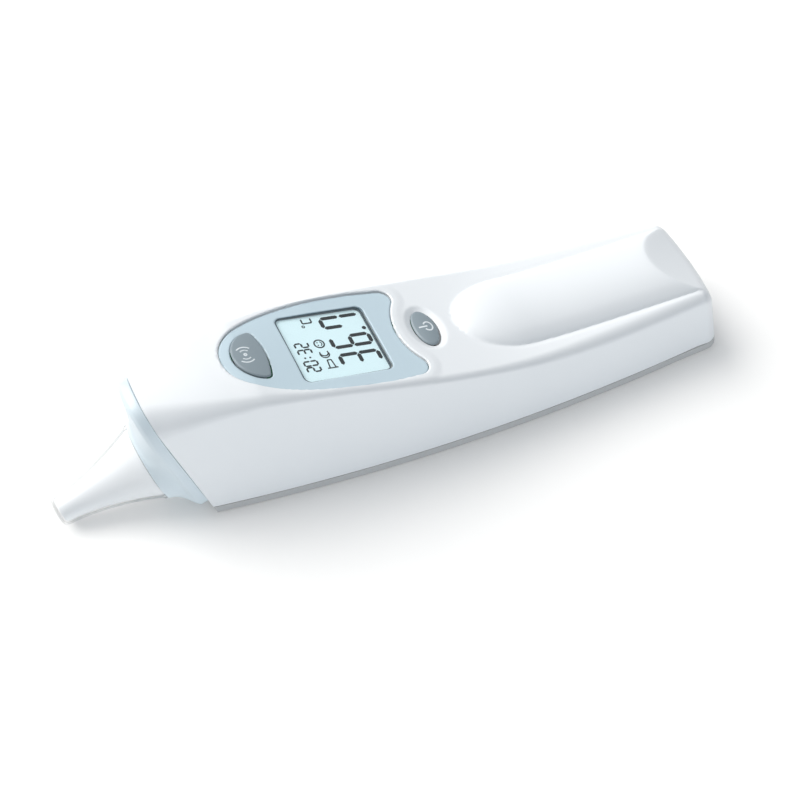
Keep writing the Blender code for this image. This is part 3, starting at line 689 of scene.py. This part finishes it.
def body_grid():
    """Half of the outer skin as a grid: rows climb the side, round the edge, cross to the spine."""
    plan = column_plan()
    foot_x, foot_y, nx, ny = plan.T
    shear = math.tan(RIM_ANGLE) * (1 - smoothstep(RIM_FOOT_X, SHEAR_END_X, foot_x))
    rows = []

    def settle(part_side, angle, part_top):
        """Points of one row: how far up the side, round the edge and across the top."""
        z = np.full(foot_x.shape, SETTLE_START_Z)
        for _ in range(SETTLE_ROUNDS):
            lean = np.where(nx > 0, TAIL_LEAN * np.clip(1 - z / HANDLE_Z, 0, 1), 0)
            lean *= smoothstep(*LEAN_X, foot_x)
            sheared = foot_x - shear * z
            side_y = np.where(nx > 0, foot_y, half_width(sheared) + DRAFT)
            radius = edge_radius(sheared)
            shift = DRAFT * part_side + radius * (1 - math.cos(angle))
            x = sheared + lean - nx * shift
            y = side_y - ny * shift
            x = x + (np.minimum(x, SPINE_END_X) - x) * part_top
            y = y * (1 - part_top)
            top = top_height(x, y)
            shoulder = top - radius
            if part_side < 1:
                z = SEAM_Z + (shoulder - SEAM_Z) * part_side
            else:
                z = top - radius * (1 - math.sin(angle))
        return np.stack((x, y, z), -1)

    for i in range(SIDE_ROWS):
        part = i / SIDE_ROWS
        rows.append(settle(part, 0.0, 0.0))
    for i in range(ROUND_ROWS):
        rows.append(settle(1.0, math.pi / 2 * i / ROUND_ROWS, 0.0))
    for i in range(TOP_ROWS + 1):
        rows.append(settle(1.0, math.pi / 2, i / TOP_ROWS))
    return np.array(rows)


def make_shell():
    """White shell: half a skin with its openings cut, mirrored and thickened."""
    grid = body_grid()
    rows, columns = grid.shape[:2]
    x, y = grid[..., 0].copy(), grid[..., 1].copy()

    def opening(px, py):
        return -np.minimum(outline_distance(PANEL_OPENING, px, py),
                           outline_distance(POWER_OPENING, px, py))

    near = (x[0] > OPENINGS_X[0]) & (x[0] < OPENINGS_X[1])
    first, last = np.flatnonzero(near)[[0, -1]]
    block = (slice(SIDE_ROWS, rows), slice(first, last + 1))
    bx, by, keep = snap_to_field(x[block].copy(), y[block].copy(), opening, FINE_STEP)
    moved = (np.abs(bx - x[block]) + np.abs(by - y[block])) > LEAST_MOVE
    bz = np.where(moved, surface_height(bx, by), grid[..., 2][block])
    grid[block] = np.stack((bx, by, bz), -1)
    mask = np.ones((rows - 1, columns - 1), bool)
    mask[SIDE_ROWS:, first:last] = keep
    faces = [f for f, k in zip(grid_faces(rows, columns), mask.ravel()) if k]
    points = grid.reshape(-1, 3)
    count = len(points)
    mirrored = points * (1, -1, 1)
    both = np.concatenate((points, mirrored))
    other = [tuple(count + i for i in reversed(face)) for face in faces]
    data = finish_mesh("upper_shell", both, faces + other, SHELL_MERGE)
    drop_loose(data)
    face_up(data)
    made = thicken(data, WALL)
    put("upper_shell", made, "white_shell", "casing", WHITE, "upper_housing")


# ---------------------------------------------------------------- panel and keys

PANEL_RANGE_X = (-0.0395, 0.0060)
PANEL_RANGE_Y = (-0.0136, 0.0136)
PANEL_SPACING = 0.00022
PANEL_ROLL = 0.0002
WINDOW_ROLL = 0.00012

# Key caps: height of the rim and rise of the crown over it, in the key's own frame.
KEY_RIM = -0.0002
KEY_DOME = 0.0004
DOME_LIMIT = 1.6
KEY_ROLL = 0.00035
KEY_THICK = 0.0018
POWER_SPACING = 0.00015
START_SPACING = 0.00018

# Printed marks: height above the key, depth of their foot in it, and their strokes.
PRINT_HEIGHT = 0.00003
PRINT_FOOT = 0.0001
RIBBON_LAP = 0.12
RING_X = 0.0006
RING_RADIUS = 0.00115
RING_STRETCH_X = 0.9
RING_STRETCH_Y = 1.1
RING_HALF_ANGLE = 145
RING_STROKE = 0.00036
BAR_START_X = -0.0016
BAR_END_X = 0.0004
BAR_STROKE = 0.00038
WAVE_CENTRE = (-0.0012, 0)
WAVE_RADII = (0.0013, 0.0022)
WAVE_HALF_ANGLE = 42
WAVE_STROKE = 0.0003
DOT_RADIUS = 0.00028
DOT_STROKE = 0.00034


def panel_field(x, y):
    """Distances to the panel's outline, the display opening and the start key's opening."""
    window = outline_distance(rounded_rectangle(DISPLAY_LENGTH, DISPLAY_WIDTH, DISPLAY_CORNER),
                              x - DISPLAY_X, y)
    start = start_distance(x - START_X, y) - GAP
    body = outline_distance(PANEL, x, y) - (GAP - FIT)
    return body, window, start


def make_panel():
    """Blue insert with its two openings, set a little below the shell."""
    def field(x, y):
        body, window, start = panel_field(x, y)
        return np.maximum(body, np.maximum(-window, -start))

    def height(x, y):
        body, window, start = panel_field(x, y)
        drop = roll(-body, PANEL_ROLL) + roll(start, PANEL_ROLL)
        bevel = roll(window, WINDOW_ROLL)
        return plain_top(x, y) - PANEL_RECESS - drop - bevel

    data = field_plate("panel", PANEL_RANGE_X, PANEL_RANGE_Y, PANEL_SPACING, field, height,
                       PANEL_THICK)
    put("panel", data, "blue_panel", "casing", BLUE, "display_panel")


def make_key(name, distance, half_x, half_y, key_frame, spacing, body, node):
    """A crowned key cap with a rolled edge; returns the height of its top."""
    def height(x, y):
        dome = KEY_DOME * (1 - np.clip((x / half_x) ** 2 + (y / half_y) ** 2, 0, DOME_LIMIT))
        return KEY_RIM + dome - roll(-distance(x, y), KEY_ROLL)

    data = field_plate(name, (-half_x - spacing, half_x + spacing),
                       (-half_y - spacing, half_y + spacing), spacing, distance, height, KEY_THICK,
                       matrix=key_frame)
    put(name, data, "button_grey", body, KEY, node)
    return height


def ribbon(points, width, closed=False):
    """Flat strip of a given width along a plan line, as short quads."""
    quads = []
    count = len(points)
    for i in range(count if closed else count - 1):
        a, b = Vector(points[i]), Vector(points[(i + 1) % count])
        along = (b - a).normalized()
        side = Vector((-along.y, along.x)) * width / 2
        lap = along * width * RIBBON_LAP
        quads.append([tuple(corner) for corner in
                      (a - side - lap, b - side + lap, b + side + lap, a + side - lap)])
    return quads


def line(start, end, steps):
    return [(start[0] + (end[0] - start[0]) * i / steps,
             start[1] + (end[1] - start[1]) * i / steps) for i in range(steps + 1)]


def arc(radius, start, end, steps, centre=(0, 0)):
    turns = [math.radians(start + (end - start) * i / steps) for i in range(steps + 1)]
    return [(centre[0] + radius * math.cos(t), centre[1] + radius * math.sin(t)) for t in turns]


def inlay(name, shapes, base, height, foot, place, material, slot, body):
    """Thin raised marks: plan shapes lifted onto a height function, their foot a bit below it."""
    bm = bmesh.new()
    for shape in shapes:
        low = [bm.verts.new((p[0], p[1], float(base(p[0], p[1])) - foot)) for p in shape]
        high = [bm.verts.new((p[0], p[1], float(base(p[0], p[1])) + height)) for p in shape]
        bm.faces.new(high)
        bm.faces.new(list(reversed(low)))
        count = len(shape)
        for i in range(count):
            j = (i + 1) % count
            bm.faces.new((low[i], low[j], high[j], high[i]))
    bmesh.ops.recalc_face_normals(bm, faces=bm.faces)
    data = bpy.data.meshes.new(name)
    bm.transform(place)
    bm.to_mesh(data)
    bm.free()
    return put(name, data, slot, body, material)


def make_keys():
    """Both keys with their printed marks: a dot with waves, and the usual ring and bar."""
    def power_distance(x, y):
        return outline_distance(oval(POWER_HALF_X, POWER_HALF_Y), x, y) - FIT

    def start_cap(x, y):
        return start_distance(x, y) - (GAP - FIT)

    power_top = make_key("power_key_cap", power_distance, POWER_HALF_X + GAP, POWER_HALF_Y + GAP,
                         POWER_FRAME, POWER_SPACING, "power_key", "power_button")
    start_top = make_key("start_key_cap", start_cap, START_FRONT, START_HALF_WIDTH + GAP,
                         START_FRAME, START_SPACING, "start_key", "start_button")
    turn = arc(RING_RADIUS, -RING_HALF_ANGLE, RING_HALF_ANGLE, 40)
    ring = ribbon([(RING_X + x * RING_STRETCH_X, y * RING_STRETCH_Y) for x, y in turn], RING_STROKE)
    bar = ribbon(line((BAR_START_X, 0), (BAR_END_X, 0), 10), BAR_STROKE)
    inlay("power_mark", ring + bar, power_top, PRINT_HEIGHT, PRINT_FOOT, POWER_FRAME, MARK,
          "white_shell", "power_key")
    dot = ribbon(arc(DOT_RADIUS, 0, 360, 16, WAVE_CENTRE), DOT_STROKE)
    waves = []
    for radius in WAVE_RADII:
        for middle in (90, 270):
            wave = arc(radius, middle - WAVE_HALF_ANGLE, middle + WAVE_HALF_ANGLE, 26, WAVE_CENTRE)
            waves += ribbon(wave, WAVE_STROKE)
    inlay("start_mark", dot + waves, start_top, PRINT_HEIGHT, PRINT_FOOT, START_FRAME, MARK,
          "white_shell", "start_key")


# ---------------------------------------------------------------- display

DIGIT_SEGMENTS = {"0": "abcdef", "2": "abged", "3": "abgcd", "6": "afgedc", "7": "abcf"}
DIGIT_GAP = 0.12
# Width, height and stroke of the digits, and where the rows stand, in reading order.
BIG_SIZE = (0.0029, 0.0092, 0.00094)
BIG_FOOT = -0.0095
BIG_FIGURES = (("3", -0.0060), ("6", -0.0007), ("7", 0.0054))
SMALL_SIZE = (0.0013, 0.0031, 0.00042)
SMALL_FOOT = 0.0053
SMALL_FIGURES = (("2", -0.0065), ("0", -0.0047), ("3", -0.0012), ("2", 0.0008))
POINT = (0.0039, -0.0094)
POINT_RADIUS = 0.0005
COLON_RIGHT = -0.0023
COLON_UPS = (0.0063, 0.0075)
COLON_RADIUS = 0.00024
DEGREE = (0.0068, 0.0042)
DEGREE_RADIUS = 0.0003
LETTER_C = ((0.0090, 0.0040), (0.0077, 0.0040), (0.0077, 0.0018), (0.0090, 0.0018))
LETTER_STROKE = 0.00036
LETTER_LAP = 0.00008
THIN_STROKE = 0.0002

# Symbols: a smiling face, a moon and a bell, each round its own centre.
FACE = (0.0012, 0.0027)
FACE_RADIUS = 0.00115
FACE_STROKE = 0.00033
MOUTH_RADIUS = 0.00062
MOUTH_ANGLES = (205, 335)
EYE_RADIUS = 0.00016
EYE_SIDE = 0.0004
EYE_UP = 0.00035
MOON = (-0.0020, 0.0027)
MOON_RADIUS = 0.00105
MOON_ANGLES = (65, 295)
MOON_INNER_RADIUS = 0.00095
MOON_INNER_ANGLES = (70, 290)
MOON_SHIFT = 0.00045
MOON_STROKE = 0.00028
BELL = (-0.0050, 0.0024)
BELL_OUTLINE = ((-0.0012, -0.0012), (-0.0012, 0.0012), (-0.0011, 0.0007), (0.0012, 0.00045),
                (0.0012, -0.00045), (-0.0011, -0.0007))
BELL_STROKE = 0.0003

# Cell, lens, a dark liner painted as the recess's shade, and printed ink, in the display's own frame.
GLASS_DEPTH = 0.0014
CELL_FOOT = 0.0040
CELL_CORNER = 0.0015
LENS_THICK = 0.0002
EDGE_BREAK = 0.00005
NEAR_CENTRE = 0.001
SHADE_LINER_PLAY = 0.00004
SHADE_LINER_THICK = 0.0001
SHADE_LINER_LIFT = 0.00003
SHADE_LINER_DROP = 0.00013
INK_HEIGHT = 0.00004
INK_FOOT = 0.00002


def segment_shape(start, end, width, gap):
    """A six-sided bar between two points."""
    a, b = Vector(start), Vector(end)
    along = (b - a).normalized()
    side = Vector((-along.y, along.x)) * width / 2
    a, b = a + along * gap, b - along * gap
    tip = along * width / 2
    return [a, a + side + tip, b + side - tip, b, b - side - tip, a - side + tip]


def digit(character, origin, width, height, stroke):
    """Bars of one seven-segment digit; origin is its lower left corner in reading order."""
    half = height / 2
    corners = {"a": ((0, height), (width, height)), "b": ((width, height), (width, half)),
               "c": ((width, half), (width, 0)), "d": ((0, 0), (width, 0)),
               "e": ((0, half), (0, 0)), "f": ((0, height), (0, half)),
               "g": ((0, half), (width, half))}
    shapes = []
    for name in DIGIT_SEGMENTS[character]:
        start, end = [Vector((p[0] + origin[0], p[1] + origin[1])) for p in corners[name]]
        shapes.append(segment_shape(start, end, stroke, stroke * DIGIT_GAP))
    return shapes


def reading(shapes):
    """Turn shapes drawn in reading order (right, up) to the display's frame."""
    return [[(-p[1], p[0]) for p in shape] for shape in shapes]


def disc(radius, corners, centre):
    return arc(radius, 0, 360 - 360 / corners, corners - 1, centre)


def figure_shapes():
    """Figures and symbols in reading order: first number to the right, second number up."""
    shapes = []
    for character, right in BIG_FIGURES:
        shapes += digit(character, (right, BIG_FOOT), *BIG_SIZE)
    shapes.append(disc(POINT_RADIUS, 12, POINT))
    for character, right in SMALL_FIGURES:
        shapes += digit(character, (right, SMALL_FOOT), *SMALL_SIZE)
    for up in COLON_UPS:
        shapes.append(disc(COLON_RADIUS, 9, (COLON_RIGHT, up)))
    shapes += ribbon(arc(DEGREE_RADIUS, 0, 360, 16, DEGREE), THIN_STROKE)
    for start, end in zip(LETTER_C, LETTER_C[1:]):
        shapes.append(segment_shape(start, end, LETTER_STROKE, -LETTER_LAP))
    shapes += ribbon(arc(FACE_RADIUS, 0, 360, 30, FACE), FACE_STROKE)
    shapes += ribbon(arc(MOUTH_RADIUS, *MOUTH_ANGLES, 12, FACE), THIN_STROKE)
    for side in (-EYE_SIDE, EYE_SIDE):
        shapes.append(disc(EYE_RADIUS, 8, (FACE[0] + side, FACE[1] + EYE_UP)))
    shapes += ribbon(arc(MOON_RADIUS, *MOON_ANGLES, 18, MOON), MOON_STROKE)
    inner_centre = (MOON[0] + MOON_SHIFT, MOON[1])
    shapes += ribbon(arc(MOON_INNER_RADIUS, *MOON_INNER_ANGLES, 18, inner_centre), MOON_STROKE)
    bell = [(BELL[0] + px, BELL[1] + py) for px, py in BELL_OUTLINE]
    shapes += ribbon(bell, BELL_STROKE, closed=True)
    return shapes


def make_display():
    """Liquid-crystal cell, its printed figures, a dark liner round it as painted shade on the
    window's walls, and the thin lens.
    """
    outline = rounded_rectangle(DISPLAY_LENGTH - 2 * FIT, DISPLAY_WIDTH - 2 * FIT, CELL_CORNER)
    inset = shift_outline(outline, -EDGE_BREAK)
    for name, low, high, node, slot, material in (
            ("lcd_cell", CELL_FOOT, GLASS_DEPTH, "lcd_glass", "lcd_glass", LCD),
            ("lcd_lens", WINDOW_DEPTH + LENS_THICK, WINDOW_DEPTH, "lcd_window", "clear_plastic",
             LENS)):
        rings = [[(x * NEAR_CENTRE, y * NEAR_CENTRE, -low) for x, y in outline],
                 [(x, y, -low) for x, y in outline],
                 [(x, y, -high - EDGE_BREAK) for x, y in outline],
                 [(x, y, -high) for x, y in inset],
                 [(x * NEAR_CENTRE, y * NEAR_CENTRE, -high) for x, y in outline]]
        data = loft(name, rings, matrix=DISPLAY_FRAME)
        put(name, data, slot, "casing", material, node)
    # Dark liner down the window's walls: painted shade of the recess.
    wall = rounded_rectangle(DISPLAY_LENGTH - SHADE_LINER_PLAY, DISPLAY_WIDTH - SHADE_LINER_PLAY,
                             DISPLAY_CORNER)
    thin = shift_outline(wall, -SHADE_LINER_THICK)
    foot = -GLASS_DEPTH + SHADE_LINER_LIFT

    def edge(x, y):
        """A point of the dark liner's upper edge, which follows the panel's crown."""
        body_x = x + DISPLAY_X
        fall = float(crown(body_x) * (y / half_width(body_x)) ** 2)
        return x, y, -PANEL_RECESS - SHADE_LINER_DROP - fall

    rings = [[edge(x, y) for x, y in wall], [edge(x, y) for x, y in thin],
             [(x, y, foot) for x, y in thin], [(x, y, foot) for x, y in wall]]
    data = loft("display_shade_liner", rings, closed=True, matrix=DISPLAY_FRAME)
    # Painted shade: the dark liner is no rubber part, only the recess's shade.
    put("display_shade_liner", data, "rubber", "casing", SHADE_LINER)

    def base(x, y):
        return -GLASS_DEPTH

    inlay("lcd_figures", reading(figure_shapes()), base, INK_HEIGHT, INK_FOOT, DISPLAY_FRAME, INK,
          "chip_black", "casing")


# ---------------------------------------------------------------- probe

COVER_BASE = 0.0073
COVER_TIP = 0.0298
COVER_BASE_RADIUS = 0.0091
COVER_TIP_RADIUS = 0.0035
COVER_FLARE = 1.7
COVER_END = 0.0300
CONE_START = COVER_BASE + 0.0009
CONE_END = COVER_TIP - 0.0008
TIP_CENTRE_RADIUS = 0.00265
TIP_INNER_RADIUS = 0.0026
TIP_CORNER = 0.0006
FOOT_CORNER = 0.0003
PIN_HOLE = 0.00001
FILM_THICK = 0.0003
FILM_SPACE = 0.0004

# Nose as (radius, distance along the probe): its mouth, the corner, then the foot and the bore.
NOSE_MOUTH = [(0.0021, 0.0270), (0.0021, 0.0291)]
NOSE_CORNER = 0.0004
NOSE_CORNER_CENTRE = (0.0024, 0.0288)
NOSE_CONE_END = 0.0283
NOSE_FOOT = [(0.0080, COVER_BASE - 0.0004), (0.0080, 0.0004), (0.0086, 0.0004), (0.0086, -0.0008),
             (0.0070, -0.0008), (0.0070, 0.0075), (0.0048, 0.0125), (0.0029, 0.0200)]

# Collar's oval: play inside the rim, half width, and how round it is at its foot and its top.
COLLAR_PLAY = 0.0009
COLLAR_HALF_WIDTH = 0.0102
COLLAR_TAPER = 0.045
OVAL_POWER = 0.4
OVAL_POWER_RISE = 0.267
OVAL_TURN = 0.35

# Rings of the collar: inset, mix of oval and circle, the circle's radius, distance from the rim.
COLLAR_RIM = [(0.0003, 0, 0.01, 0.0002), (0.00008, 0, 0.01, 0.00028), (0, 0, 0.01, 0.0005),
              (0, 0, 0.01, 0.0020), (0.00012, 0, 0.01, 0.0024), (0.0004, 0.0, 0.01, 0.0027)]
COLLAR_MOUTH = (0.0013, 1, 0.0095, 0.0070)
COLLAR_BORE = [(0.0012, 1, 0.0090, 0.0070), (0.0014, 1, 0.0089, 0.0067),
               (0.0020, 0.85, 0.0090, 0.0050), (0.0018, 0.5, 0.0092, 0.0036),
               (0.0011, 0, 0.01, 0.0020), (0.0010, 0, 0.01, 0.0002)]
FLARE_STEPS = 14
FLARE_MIX_START = -0.25
FLARE_POWER = 1.15
# The flare's first value and what it gains over its length.
FLARE_INSET = (0.0006, 0.0007)
FLARE_RADIUS = (0.0104, -0.0008)
FLARE_HEIGHT = (0.0030, 0.0038)


def cover_radius(along):
    left = max(0.0, (COVER_TIP - along) / (COVER_TIP - COVER_BASE))
    return COVER_TIP_RADIUS + (COVER_BASE_RADIUS - COVER_TIP_RADIUS) * left ** COVER_FLARE


def cone(inset, start, end, steps=48):
    stations = [end + (start - end) * i / steps for i in range(steps + 1)]
    return [(cover_radius(along) - inset, along) for along in stations]


def make_probe():
    """Thin clear cover and the white nose under it, both turned round the probe's axis."""
    tip_centre = (TIP_CENTRE_RADIUS, COVER_END - TIP_CORNER)
    foot_centre = (COVER_BASE_RADIUS - FOOT_CORNER / 2, COVER_BASE + FOOT_CORNER)
    outer = [(PIN_HOLE, COVER_END)] + arc(TIP_CORNER, 90, 0, 8, tip_centre)
    outer += cone(0.0, CONE_START, CONE_END)
    outer += arc(FOOT_CORNER, 30, -90, 6, foot_centre)
    inner = [(COVER_BASE_RADIUS - FILM_THICK - FOOT_CORNER, COVER_BASE)]
    inner += list(reversed(cone(FILM_THICK, CONE_START, CONE_END)))
    inner += [(TIP_INNER_RADIUS, COVER_END - FILM_THICK), (PIN_HOLE, COVER_END - FILM_THICK)]
    data = revolve("cover", outer + inner, matrix=PROBE_FRAME)
    put("cover", data, "clear_plastic", "cover", FILM, "probe_cover")
    nose = NOSE_MOUTH + arc(NOSE_CORNER, 90, 0, 4, NOSE_CORNER_CENTRE)
    nose += cone(FILM_THICK + FILM_SPACE, COVER_BASE, NOSE_CONE_END)
    nose += NOSE_FOOT
    data = revolve("nose", nose, closed=True, matrix=PROBE_FRAME)
    put("nose", data, "white_shell", "casing", NOSE, "probe_nose")


def collar_ring(inset, mix, radius, height, count=120):
    """Section of the collar: the rim's oval at mix 0, a circle round the probe at mix 1."""
    points = []
    reach = RIM_LENGTH / 2 - COLLAR_PLAY - inset
    for i in range(count):
        angle = 2 * math.pi * i / count
        c, s = math.cos(angle), math.sin(angle)
        power = OVAL_POWER + OVAL_POWER_RISE * float(smoothstep(-OVAL_TURN, OVAL_TURN, c))
        up = reach * math.copysign(abs(c) ** power, c)
        half = COLLAR_HALF_WIDTH - inset - COLLAR_TAPER * up
        side = half * math.copysign(abs(s) ** power, s)
        oval_point = Vector((up + PROBE_DROP, side, height))
        turn = math.atan2(oval_point.y, oval_point.x)
        circle = Vector((radius * math.cos(turn), radius * math.sin(turn), height))
        points.append(oval_point.lerp(circle, mix))
    return points


def make_collar():
    """Ejector collar: an oval rim that flares into a circle round the probe, with its bore."""
    outer = list(COLLAR_RIM)
    first = float(smoothstep(FLARE_MIX_START, 1.0, 0.0))
    for i in range(FLARE_STEPS + 1):
        part = i / FLARE_STEPS
        mix = (float(smoothstep(FLARE_MIX_START, 1.0, part)) - first) / (1 - first)
        outer.append((FLARE_INSET[0] + FLARE_INSET[1] * part, mix,
                      FLARE_RADIUS[0] + FLARE_RADIUS[1] * part,
                      FLARE_HEIGHT[0] + FLARE_HEIGHT[1] * part ** FLARE_POWER))
    outer.append(COLLAR_MOUTH)
    rings = [collar_ring(*ring) for ring in outer + COLLAR_BORE]
    data = loft("collar", rings, closed=True, matrix=PROBE_FRAME)
    put("collar", data, "collar_plastic", "ejector", COLLAR, "ejector_collar")


# ---------------------------------------------------------------- carried-over CAD nodes

def dress_inner_nodes():
    """Procedural materials for the pieces whose CAD shape is kept."""
    inner = moulded("inner_grey", (0.62, 0.62, 0.60), 0.5)
    rubber = moulded("rubber_black", (0.03, 0.03, 0.03), 0.75, grain=5000)
    board = moulded("board_green", (0.02, 0.16, 0.07), 0.4, grain=900, tint=0.25)
    chip = moulded("chip_black", (0.02, 0.02, 0.022), 0.5, grain=6000)
    steel = metal("steel", (0.62, 0.62, 0.61), 0.26)
    gold = metal("gold", (0.80, 0.58, 0.24), 0.22)
    wrap = moulded("cell_wrap", (0.10, 0.12, 0.14), 0.35, tint=0.2)
    glass = clear("sensor_glass", (0.3, 0.34, 0.4), 0.8)
    looks = {"inner_plastic": inner, "rubber": rubber, "board_green": board,
             "chip_black": chip, "steel": steel, "gold": gold, "cell_wrap": wrap,
             "lcd_glass": glass, "grey_shell": GREY, "white_shell": WHITE,
             "clear_plastic": LENS, "blue_panel": BLUE, "button_grey": KEY,
             "collar_plastic": COLLAR}
    slots = {row["node"]: row["material_slot"] for row in frame["record"]["subparts"]}
    for name, item in NODES.items():
        look = looks[slots[name]]
        if not item.material_slots:
            item.data.materials.append(look)
        for place in item.material_slots:
            place.material = look


# ---------------------------------------------------------------- studio

# Camera at the photograph's angle: 24 degrees to the left, 51 degrees up.
CAMERA_AZIMUTH = math.radians(-23.665)
CAMERA_ELEVATION = math.radians(51.266)
CAMERA_DISTANCE = 0.51572
CAMERA_TARGET = Vector((0.00384, 0.00167, 0))
CAMERA_LENS = 100.4
CAMERA_SENSOR = 36
CAMERA_CLIP = 0.01

FLOOR_HALF = 1.5
FLOOR_COLOUR = (0.90, 0.885, 0.87)
WORLD_COLOUR = (0.80, 0.90, 1.0, 1)
WORLD_STRENGTH = 0.37
WARM_LIGHT = (1.0, 0.985, 0.96)

# Suns: name, direction the light comes from, strength, width in degrees, colour, shadow.
SUNS = (
    ("back_key", (-0.50, 0.52, 0.85), 1.55, 45, WARM_LIGHT, True),
    ("back_glow", (-0.60, 0.62, 0.62), 1.25, 60, WARM_LIGHT, False),
    ("top_key", (-0.30, 0.30, 1.0), 0.98, 70, (1.0, 0.99, 0.97), True),
    ("front_fill", (0.25, -1.0, -0.65), 0.78, 60, (0.86, 0.94, 1.0), False),
)


def make_camera():
    """Camera that looks at its target from an azimuth and an elevation."""
    azimuth, elevation = CAMERA_AZIMUTH, CAMERA_ELEVATION
    back = Vector((math.sin(azimuth) * math.cos(elevation),
                   -math.cos(azimuth) * math.cos(elevation), math.sin(elevation)))
    data = bpy.data.cameras.new("camera")
    data.lens = CAMERA_LENS
    data.sensor_width = CAMERA_SENSOR
    data.clip_start = CAMERA_CLIP
    item = bpy.data.objects.new("camera", data)
    item.location = CAMERA_TARGET + back * CAMERA_DISTANCE
    item.rotation_euler = (math.pi / 2 - elevation, 0, azimuth)
    bpy.context.scene.collection.objects.link(item)
    bpy.context.scene.camera = item


def sun_light(name, towards, strength, spread, colour, shadow):
    """Far, soft light that comes from a direction; spread is its width in degrees."""
    data = bpy.data.lights.new(name, "SUN")
    data.energy = strength
    data.angle = math.radians(spread)
    data.color = colour
    data.use_shadow = shadow
    item = bpy.data.objects.new(name, data)
    item.rotation_euler = Vector(towards).to_track_quat("Z", "Y").to_euler()
    bpy.context.scene.collection.objects.link(item)


def make_studio():
    """White floor, even surroundings and four suns."""
    floor = Nodes("floor_white", FLOOR_COLOUR, 0.9)
    floor.vary_roughness(0.85, 0.95, 30)
    half = FLOOR_HALF
    data = bpy.data.meshes.new("floor")
    data.from_pydata([(-half, -half, 0), (half, -half, 0), (half, half, 0), (-half, half, 0)],
                     [], [(0, 1, 2, 3)])
    data.materials.append(floor.material)
    item = bpy.data.objects.new("floor", data)
    bpy.context.scene.collection.objects.link(item)
    world = bpy.data.worlds.new("studio")
    world.use_nodes = True
    back = world.node_tree.nodes["Background"]
    back.inputs["Color"].default_value = WORLD_COLOUR
    back.inputs["Strength"].default_value = WORLD_STRENGTH
    bpy.context.scene.world = world
    for sun in SUNS:
        sun_light(*sun)
    bpy.context.scene.view_settings.view_transform = "Standard"


make_camera()
make_studio()
dress_inner_nodes()
make_shell()
make_panel()
make_keys()
make_display()
make_probe()
make_collar()
